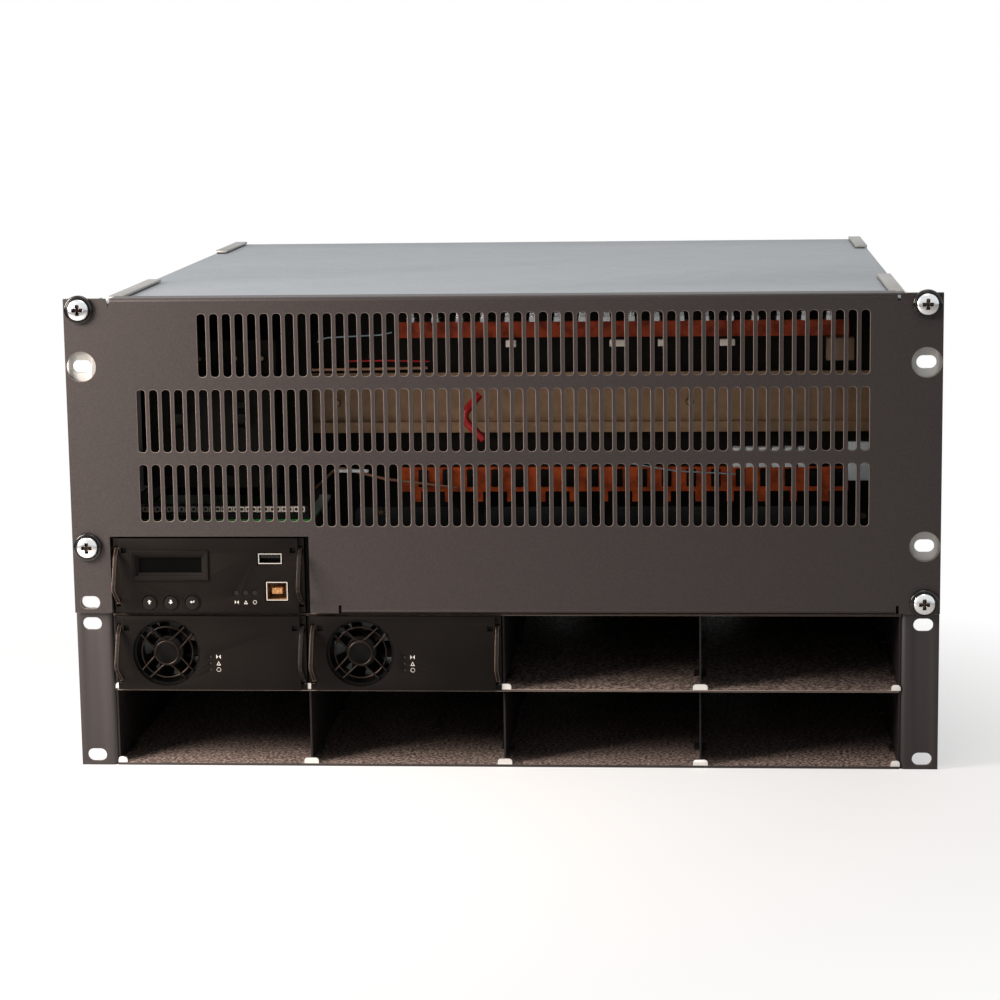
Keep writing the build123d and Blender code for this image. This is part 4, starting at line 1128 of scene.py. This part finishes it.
@dataclass
class FanGuard:
    """Welded wire guard of one module fan: two rings and four V-shaped wires."""

    module: str
    wires: WireShape
    wire: float = 1.1
    inner: float = 6.6
    outer: float = 14.5
    arm: tuple[float, float] = (10.5, 14.8)
    apex: float = 5.1
    apex_bend: float = 4.4
    end_bend: float = 0.8

    def build(self) -> None:
        """Sweeps the wires round the fan's centre in place of the CAD guard."""
        low, high = limits(f"{self.module}_fan_guard")
        cx, cz = (low.x + high.x) / 2, (low.z + high.z) / 2
        seat = limits(f"{self.module}_fan_frame")[0].y
        front, middle, back = low.y + self.wire / 2, low.y + self.wire / 2 + 1.0, low.y + self.wire / 2 + 2.0
        routes = []
        for radius, y in ((self.inner, front), (self.outer, back)):
            ring = [(u, y, v) for u, v in arc((cx, cz), radius, 0, 360, 48)[:-1]]
            routes.append((ring, [0.0] * len(ring), True))
        x, z = self.arm
        corners = [(-x, seat, z), (-x, middle, z), (0, middle, self.apex), (x, middle, z), (x, seat, z)]
        bends = [0.0, self.end_bend, self.apex_bend, self.end_bend, 0.0]
        for turn in range(4):
            spin = Matrix.Rotation(math.pi / 2 * turn, 3, "Y")
            routes.append(([tuple(spin @ Vector(c) + Vector((cx, 0, cz))) for c in corners], bends, False))
        node = f"{self.module}_fan_guard"
        piece = self.wires.build(f"{node}_wires", routes, self.wire / 2, GUARD_WIRE)
        settle(piece, body_of(node), slot_of(node), node)


class Mark(Enum):
    """Plain printed symbols beside lamps and on buttons."""

    WAVES = "waves"
    TRIANGLE = "triangle"
    RING = "ring"
    UP = "up"
    DOWN = "down"
    ENTER = "enter"


@dataclass
class Printing:
    """Pad-printed symbols: thin flat prints on a face, as fine as ink."""

    ink: float = 0.04

    def loops(self, mark: Mark, size: float) -> list[Loop]:
        """Outlines of a symbol about the origin.

        Args:
            mark: The symbol.
            size: Its height.

        Returns:
            Closed outlines, each a solid patch.
        """
        h, t = size / 2, size * 0.09
        match mark:
            case Mark.WAVES:
                return [[(-h, -h), (-t, 0.0), (-h, h)], [(h, -h), (h, h), (t, 0.0)]]
            case Mark.TRIANGLE:
                side = [(0.0, h), (-h, -h), (h, -h)]
                inner = [(u * 0.55, v * 0.55 - h * 0.12) for u, v in side]
                return [[side[n], side[(n + 1) % 3], inner[(n + 1) % 3], inner[n]] for n in range(3)]
            case Mark.RING:
                big, small = arc((0, 0), h, 0, 360, 24), arc((0, 0), h - max(t, 0.24), 0, 360, 24)
                return [[big[n], big[n + 1], small[n + 1], small[n]] for n in range(24)]
            case Mark.UP | Mark.DOWN:
                way = 1 if mark is Mark.UP else -1
                return [
                    [(-h, 0.0), (h, 0.0), (0.0, h * way)],
                    [(-t * 2, -h * way), (t * 2, -h * way), (t * 2, 0.0), (-t * 2, 0.0)],
                ]
            case Mark.ENTER:
                return [
                    [(-h, 0.0), (-h * 0.2, h * 0.6), (-h * 0.2, -h * 0.6)],
                    [(-h * 0.2, -t), (h, -t), (h, t), (-h * 0.2, t)],
                    [(h - 2 * t, t), (h, t), (h, h * 0.8), (h - 2 * t, h * 0.8)],
                ]

    def build(self, name: str, body: str, slot: str, marks: Iterable[tuple[Mark, float, Point]]) -> None:
        """Prints symbols on a face that looks towards -Y.

        Args:
            name: The piece's name.
            body: The body that carries it.
            slot: The record's material slot.
            marks: (symbol, height, centre on the face) in millimetres.
        """
        mesh = bmesh.new()
        for mark, size, (x, y, z) in marks:
            for loop in self.loops(mark, size):
                add_prism(mesh, [(x + u, z + v) for u, v in loop], y - self.ink, y, deep)
        settle(new_object(name, mesh, PRINT_WHITE), body, slot)


@dataclass
class Module:
    """What the rectifiers and the controller share: face, levers and their rounded edges."""

    name: str

    def node(self, part: str) -> str:
        """Name of one of the module's CAD nodes."""
        return f"{self.name}_{part}"

    def build(self) -> None:
        """Rounds and dresses the shared pieces."""
        dress(CASE_FRONT_SHADE, self.node("case"))
        RoundedCopy(self.node("front"), FACE_ABS, 0.25).build()
        for side in ("left", "right"):
            RoundedCopy(self.node(f"handle_{side}"), LEVER_COAT, 0.3).build()


@dataclass
class Rectifier(Module):
    """Plug-in rectifier: fan with its guard at the left, three lamps with their symbols."""

    wires: Optional[WireShape] = None
    printing: Printing = field(default_factory=Printing)
    mark_gap: float = 4.4
    mark_size: float = 2.5
    lamp_pitch: float = 3.7

    def build(self) -> None:
        """Adds the fan's looks and the symbols."""
        super().build()
        dress(BLACK_NYLON, self.node("fan_frame"), self.node("fan_rotor"))
        dress(LIGHT_PIPE, self.node("light_pipe"))
        FanGuard(self.name, self.wires).build()
        low, high = limits(self.node("light_pipe"))
        x = (low.x + high.x) / 2 + self.mark_gap
        middle = (low.z + high.z) / 2
        face = limits(self.node("front"))[0].y
        marks = [
            (mark, self.mark_size, (x, face, middle + self.lamp_pitch * way))
            for mark, way in ((Mark.WAVES, 1), (Mark.TRIANGLE, 0), (Mark.RING, -1))
        ]
        self.printing.build(self.node("symbols"), self.name, slot_of(self.node("front")), marks)


@dataclass
class Controller(Module):
    """Controller module: display, three buttons, three lamps and two data sockets."""

    printing: Printing = field(default_factory=Printing)
    button_mark: float = 2.5
    bezel: tuple[float, float, float] = (4.2, 4.9, 0.35)
    pane_frame: tuple[tuple[float, float], ...] = (
        (0.0, 0.6), (0.0, -0.05), (2.1, -0.8), (2.6, -0.75), (2.9, 0.0), (2.9, 0.6)
    )
    lamp_pitch: float = 5.15
    mark_size: float = 2.2
    mark_drop: float = 3.4

    def symbols(self) -> list[tuple[Mark, float, Point]]:
        """The marks under the three lamps."""
        low, high = limits(self.node("light_pipe"))
        face = limits(self.node("front"))[0].y
        middle = (low.x + high.x) / 2
        return [
            (mark, self.mark_size, (middle + self.lamp_pitch * way, face, low.z - self.mark_drop))
            for mark, way in ((Mark.WAVES, -1), (Mark.TRIANGLE, 0), (Mark.RING, 1))
        ]

    def frame(self) -> None:
        """Bevelled frame that slopes in to the display pane."""
        (low, high), face = limits("display_window"), limits(self.node("front"))[0].y
        mesh = bmesh.new()
        rings = []
        for grow, y in self.pane_frame:
            corners = [(low.x - grow, low.z - grow), (high.x + grow, low.z - grow)]
            corners += [(high.x + grow, high.z + grow), (low.x - grow, high.z + grow)]
            rings.append([mesh.verts.new((x, face + y, z)) for x, z in corners])
        for one, two in zip(rings, rings[1:] + rings[:1]):
            for n in range(4):
                mesh.faces.new((one[n], one[(n + 1) % 4], two[(n + 1) % 4], two[n]))
        bmesh.ops.recalc_face_normals(mesh, faces=mesh.faces)
        round_edges(mesh, 0.12, 2, 25.0)
        settle(new_object("display_frame", mesh, FACE_ABS), self.name, slot_of(self.node("front")))

    def bezels(self, places: Iterable[tuple[float, float]]) -> None:
        """Low raised rings round the buttons."""
        face = limits(self.node("front"))[0].y
        inner, outer, proud = self.bezel
        profile = [
            (inner, 0.2), (inner, -proud * 0.6), (inner + 0.15, -proud), (outer - 0.25, -proud), (outer, 0.0)
        ]
        for n, (x, z) in enumerate(places):
            ring = lathe(profile + [(outer, 0.2), (inner, 0.2)], (x, face, z), 40)
            bmesh.ops.remove_doubles(ring, verts=ring.verts, dist=0.002)
            settle(new_object(f"button_bezel_{n}", ring, FACE_ABS), self.name, slot_of(self.node("front")))

    def build(self) -> None:
        """Adds the looks of the controls."""
        super().build()
        self.frame()
        centres = []
        self.printing.build(self.node("symbols"), self.name, slot_of(self.node("front")), self.symbols())
        dress(PLAIN_BOARD, self.node("board"))
        dress(DISPLAY_PANE, "display_window")
        dress(LIGHT_PIPE, self.node("light_pipe"))
        rim = limits("data_socket_a")[0].y + 0.6
        dress(replace(SOCKET_NICKEL, plane=rim), "data_socket_a")
        gilt = replace(SOCKET_NICKEL, name="gilt_socket", plane=rim, colour="8A6038", fleck="D0A070")
        dress(gilt, "data_socket_b")
        for way, mark in (("up", Mark.UP), ("down", Mark.DOWN), ("enter", Mark.ENTER)):
            node = f"button_{way}"
            RoundedCopy(node, BUTTON_ABS, 0.35, 3).build()
            low, high = limits(node)
            x = (low.x + high.x) / 2
            z = (low.z + high.z) / 2
            centres.append((x, z))
            places = [(mark, self.button_mark, (x, low.y, z))]
            self.printing.build(f"{node}_mark", node, slot_of(node), places)
        self.bezels(centres)


@dataclass
class Shelf:
    """Two-row shelf: tray with ears, floors, dividers and backplane."""

    heads: PanHeads
    rear_screw: tuple[float, float] = (2.6, 0.9)
    rear_screw_x: tuple[float, ...] = (-208.0, -109.75, 0.0, 109.75, 208.0)
    rear_screw_z: tuple[float, float] = (6.0, 82.0)

    def build(self) -> None:
        """Rounds and dresses the sheet parts and sets the rear screws."""
        RoundedCopy("shelf_tray", TRAY_COAT, 0.35).build()
        RoundedCopy("mid_shelf", TRAY_COAT, 0.3).build()
        RoundedCopy("shelf_top", DECK_COAT, 0.25).build()
        for node in sorted(n for n in NODES if n.startswith(("divider_", "side_liner_"))):
            RoundedCopy(node, DIVIDER_COAT, 0.3, 3).build()
        dress(PLAIN_BOARD, "backplane")
        rear = limits("shelf_tray")[1].y
        places = [(x, rear, z) for x in self.rear_screw_x for z in self.rear_screw_z]
        screws = self.heads.build("tray_rear_screws", places, *self.rear_screw, (-90, 0, 0), ZINC_SCREW)
        settle(screws, "shelf", slot_of("cover_screws"))


@dataclass
class Chassis:
    """Distribution chassis: side panels with their tabs, base, lid and cage."""

    heads: PanHeads
    wall_x: float = 222.0
    rivet: tuple[float, float] = (2.4, 0.8)
    rivet_y: tuple[float, ...] = (30.0, 120.0, 210.0, 300.0, 390.0, 440.0)
    rivet_z: tuple[float, float] = (97.0, 252.0)

    def build(self) -> None:
        """Rounds and dresses the sheet parts and sets rivets."""
        for side, way in (("left", -1), ("right", 1)):
            node = f"side_panel_{side}"
            RoundedCopy(node, PANEL_ZINC, 0.25).build()
            wall = way * self.wall_x
            places = [(wall, y, z) for y in self.rivet_y for z in self.rivet_z]
            rivets = self.heads.build(f"{node}_rivets", places, *self.rivet, (0, 90 * way, 0), ZINC_SCREW)
            settle(rivets, "shelf", slot_of(node))
        RoundedCopy("top_cover", LID_ZINC, 0.3).build()
        RoundedCopy("chassis_base", BASE_ZINC_INNER_SHADE, 0.2).build()
        dress(INNER_BLACK, "controller_cage", "mounting_plate", "cable_bracket")


@dataclass
class Distribution:
    """What shows through the slots: rail, breakers, copper bars, board, wiring and connectors."""

    wires: WireShape
    heads: PanHeads
    terminal_pitch: float = 3.5
    terminal: float = 3.1
    terminal_x: tuple[float, float] = (-214.0, -114.5)

    def terminals(self) -> None:
        """Cream screw frames along the board's terminal strip, each round a dark hole."""
        mesh = bmesh.new()
        y, z = limits("io_board")[0].y + 1.9, 140.4
        count = int((self.terminal_x[1] - self.terminal_x[0]) / self.terminal_pitch)
        outer = self.terminal / 2
        for n in range(count):
            x = self.terminal_x[0] + 2.0 + n * self.terminal_pitch
            for low, high in (
                ((-1, -1), (1, -0.5)), ((-1, 0.5), (1, 1)), ((-1, -0.5), (-0.5, 0.5)), ((0.5, -0.5), (1, 0.5))
            ):
                (u0, v0), (u1, v1) = low, high
                loop = [(x + outer * u, z + outer * v) for u, v in ((u0, v0), (u1, v0), (u1, v1), (u0, v1))]
                add_prism(mesh, loop, y - 0.5, y, deep)
        settle(new_object("terminal_frames", mesh, CREAM_NYLON), "shelf", slot_of("io_board"))

    def blocks(self, name: str, finish: Finish, boxes: Sequence[tuple[Point, Point]], slot: str) -> None:
        """Small moulded housings with rounded edges, each given by two corners."""
        mesh = bmesh.new()
        for low, high in boxes:
            loop = [(low[0], low[2]), (high[0], low[2]), (high[0], high[2]), (low[0], high[2])]
            add_prism(mesh, loop, low[1], high[1], deep)
        round_edges(mesh, 0.4, 2)
        settle(new_object(name, mesh, finish), "shelf", slot)

    def housings(self) -> None:
        """Connectors and relays on the plate, as the slots show them."""
        slot = slot_of("busbar_standoffs")
        whites = ((-0.2, 5.6), (58.8, 68.5), (86.2, 90.2), (121.1, 129.6))
        self.blocks("white_clips", CREAM_NYLON, [((a, 50, 231.8), (b, 53, 235.6)) for a, b in whites], slot)
        self.blocks("beige_relay", BEIGE_PBT, [((180.7, 46, 223.7), (196.2, 56, 236.4))], slot)
        pale = [((128.3 + 7.36 * n, 46, 163.0), (134.0 + 7.36 * n, 52, 174.4)) for n in range(6)]
        pale += [((193.5, 48, 155.0), (206.0, 52, 177.0)), ((-100.0, 49, 160.0), (-80.0, 51, 161.8))]
        self.blocks("pale_connectors", PALE_NYLON, pale, slot)
        dark = [((x, 55, 150.5), (x + 5.5, 57.5, 160.5)) for x in range(-52, 190, 14)]
        self.blocks("fuse_carriers", BREAKER_PBT, dark, slot)

    def cables(self) -> None:
        """Wires between the breakers, the board and the bars."""
        slot = slot_of("io_board")
        runs = {
            "red_wires": (RED_PVC, 0.45, [
                [(-90.0, 50, 224.3), (-68.0, 49, 224.6), (-44.0, 51, 223.8)],
            ]),
            "red_cable": (RED_PVC, 2.3, [
                [(-16.0, 55, 204.0), (-24.0, 50, 194.5), (-24.0, 49, 190.0), (-13.5, 50, 179.0)],
            ]),
            "blue_wires": (BLUE_PVC, 0.4, [
                [(-108.0, 52, 235.0), (-103.0, 50, 237.8), (-72.0, 50, 239.2), (-65.0, 50, 240.6)],
                [(52.0, 50, 168.0), (96.0, 50, 160.4), (130.0, 52, 158.2)],
            ]),
            "tan_wires": (TAN_PVC, 0.8, [
                [(-114.0, 50, 219.4), (-80.0, 49, 219.8), (-45.0, 50, 220.2)],
                [(-112.0, 56, 150.0), (-98.0, 50, 163.0), (-70.0, 50, 156.0), (-30.0, 56, 150.0)],
            ]),
        }
        for name, (finish, radius, lines) in runs.items():
            routes = [(line, [0.0] + [6.0] * (len(line) - 2) + [0.0], False) for line in lines]
            settle(self.wires.build(name, routes, radius, finish), "shelf", slot)

    def screws(self) -> None:
        """Small pan heads on the breakers, the rail and the plate."""
        slot = slot_of("busbar_bolts")
        nose = limits("breaker_1")[0].y
        seats = [(x, nose + 9.0, z) for x in (-187.0, -172.0, -151.5, -136.5) for z in (179.4, 228.8)]
        piece = self.heads.build("breaker_screws", seats, 1.7, 1.0, (90, 0, 0), INNER_SCREW)
        settle(piece, "shelf", slot)
        rail = limits("top_hat_rail")[0].y
        plate = limits("mounting_plate")[0].y
        seats = [(-101.0, rail, 196.7), (104.0, rail, 196.7), (-77.3, plate, 131.0), (204.0, plate, 128.8)]
        piece = self.heads.build("plate_screws", seats, 2.4, 1.2, (90, 0, 0), INNER_SCREW)
        settle(piece, "shelf", slot)

    def build(self) -> None:
        """Dresses the equipment and lays the wiring."""
        dress(RAIL_ZINC, "top_hat_rail")
        dress(BREAKER_PBT, "breaker_1", "breaker_2")
        dress(TOGGLE_PBT, "breaker_1_toggle", "breaker_2_toggle")
        dress(COPPER, "upper_busbar")
        dress(COMB_COPPER, "comb_busbar")
        dress(ZINC_SCREW, "busbar_bolts")
        dress(INSULATOR, "busbar_standoffs")
        dress(BOARD, "io_board")
        for step in (self.terminals, self.housings, self.cables, self.screws):
            step()


# Camera, lamps and floor


@dataclass(frozen=True)
class Studio:
    """Plain soft studio: pale floor, white surround, broad lamps and the photograph's viewpoint."""

    lens: float = 97.2
    eye: Point = (111.2, -1472.3, 399.7)
    pitch: float = 9.515
    yaw: float = -4.351
    roll: float = -0.815
    ambient: float = 0.14

    def camera(self) -> None:
        """Sets the camera where the photograph was taken from."""
        data = bpy.data.cameras.new("camera")
        data.lens = self.lens
        data.sensor_width = 36.0
        data.clip_end = 30.0
        made = bpy.data.objects.new("camera", data)
        bpy.context.scene.collection.objects.link(made)
        pitch, yaw, roll = (math.radians(a) for a in (self.pitch, self.yaw, self.roll))
        ahead = Vector((math.sin(yaw), math.cos(yaw), 0.0))
        side = Vector((math.cos(yaw), -math.sin(yaw), 0.0))
        forward = ahead * math.cos(pitch) - Vector((0, 0, math.sin(pitch)))
        up = ahead * math.sin(pitch) + Vector((0, 0, math.cos(pitch)))
        right = side * math.cos(roll) + up * math.sin(roll)
        up = up * math.cos(roll) - side * math.sin(roll)
        turned = Matrix((right, up, -forward)).transposed().to_4x4()
        made.matrix_world = Matrix.Translation(Vector(self.eye) * MM) @ turned
        bpy.context.scene.camera = made

    def surround(self) -> None:
        """White world for what the camera and mirrors see, and a dimmer one for diffuse light."""
        world = bpy.data.worlds.new("surround")
        bpy.context.scene.world = world
        world.use_nodes = True
        tree = world.node_tree
        tree.nodes.clear()
        path = add_node(tree, "ShaderNodeLightPath")
        seen = path.outputs["Is Camera Ray"]
        for other in ("Is Glossy Ray", "Is Transmission Ray"):
            both = add_node(tree, "ShaderNodeMath", {0: seen, 1: path.outputs[other]}, operation="MAXIMUM")
            seen = both.outputs[0]
        dim = add_node(tree, "ShaderNodeBackground", {"Color": (1, 1, 1, 1), "Strength": self.ambient})
        bright = add_node(tree, "ShaderNodeBackground", {"Color": (1, 1, 1, 1), "Strength": 1.0})
        mixed = add_node(tree, "ShaderNodeMixShader", {0: seen, 1: dim.outputs[0], 2: bright.outputs[0]})
        add_node(tree, "ShaderNodeOutputWorld", {0: mixed.outputs[0]})

    def lamp(
        self, name: str, place: Point, aim: Point, size: float, power: float, colour: str
    ) -> bpy.types.Object:
        """One square area lamp, in millimetres and watts."""
        data = bpy.data.lights.new(name, "AREA")
        data.shape = "SQUARE"
        data.size = size * MM
        data.energy = power
        data.color = linear(colour)[:3]
        made = bpy.data.objects.new(name, data)
        bpy.context.scene.collection.objects.link(made)
        made.location = Vector(place) * MM
        made.visible_camera = False
        made.rotation_euler = ((Vector(aim) - Vector(place)).to_track_quat("-Z", "Y")).to_euler()
        return made

    def floor(self) -> bpy.types.Object:
        """Pale floor that fades to the white surround away from the shelf."""
        mesh = bmesh.new()
        bmesh.ops.create_grid(mesh, x_segments=1, y_segments=1, size=4000.0)
        made = new_object("floor", mesh, FLOOR)
        tree = made.data.materials[0].node_tree
        shader = tree.nodes["Principled BSDF"]
        place = add_node(tree, "ShaderNodeTexCoord").outputs["Object"]
        far = add_node(tree, "ShaderNodeVectorMath", {0: place}, operation="LENGTH").outputs["Value"]
        span = {"Value": far, "From Min": 0.2, "From Max": 0.5, "To Min": 0.5}
        fade = add_node(tree, "ShaderNodeMapRange", span)
        seen = add_node(tree, "ShaderNodeLightPath").outputs["Is Camera Ray"]
        both = add_node(tree, "ShaderNodeMath", {0: fade.outputs[0], 1: seen}, operation="MULTIPLY")
        white = add_node(tree, "ShaderNodeEmission", {"Color": (1, 1, 1, 1), "Strength": 1.0})
        parts = {0: both.outputs[0], 1: shader.outputs[0], 2: white.outputs[0]}
        mixed = add_node(tree, "ShaderNodeMixShader", parts)
        tree.links.new(mixed.outputs[0], tree.nodes["Material Output"].inputs["Surface"])
        return made

    def build(self) -> None:
        """Sets the whole studio."""
        self.camera()
        self.surround()
        lamps = [
            self.lamp("key", (-580, -280, 400), (-230, 0, 120), 300, 8.6, "FFF3EA"),
            self.lamp("front", (100, -420, 1500), (0, 60, 120), 600, 5.6, "FFF4EA"),
            self.lamp("top", (0, 500, 1900), (0, 200, 250), 1200, 3, "F2F6FF"),
        ]
        self.floor()


def main() -> None:
    """Dresses the frame."""
    logging.basicConfig(level=logging.INFO, format="%(message)s")
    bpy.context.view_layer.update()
    wires, heads = WireShape(), PanHeads()
    cover = SlottedCover()
    cover.build()
    CoverFixings(cover).build()
    Shelf(heads).build()
    Chassis(heads).build()
    for name in ("rectifier_1", "rectifier_2"):
        Rectifier(name, wires=wires).build()
    Controller("controller").build()
    Distribution(wires, heads).build()
    Studio().build()
    bpy.context.scene.view_settings.view_transform = "Standard"


if __name__ == "__main__":
    main()
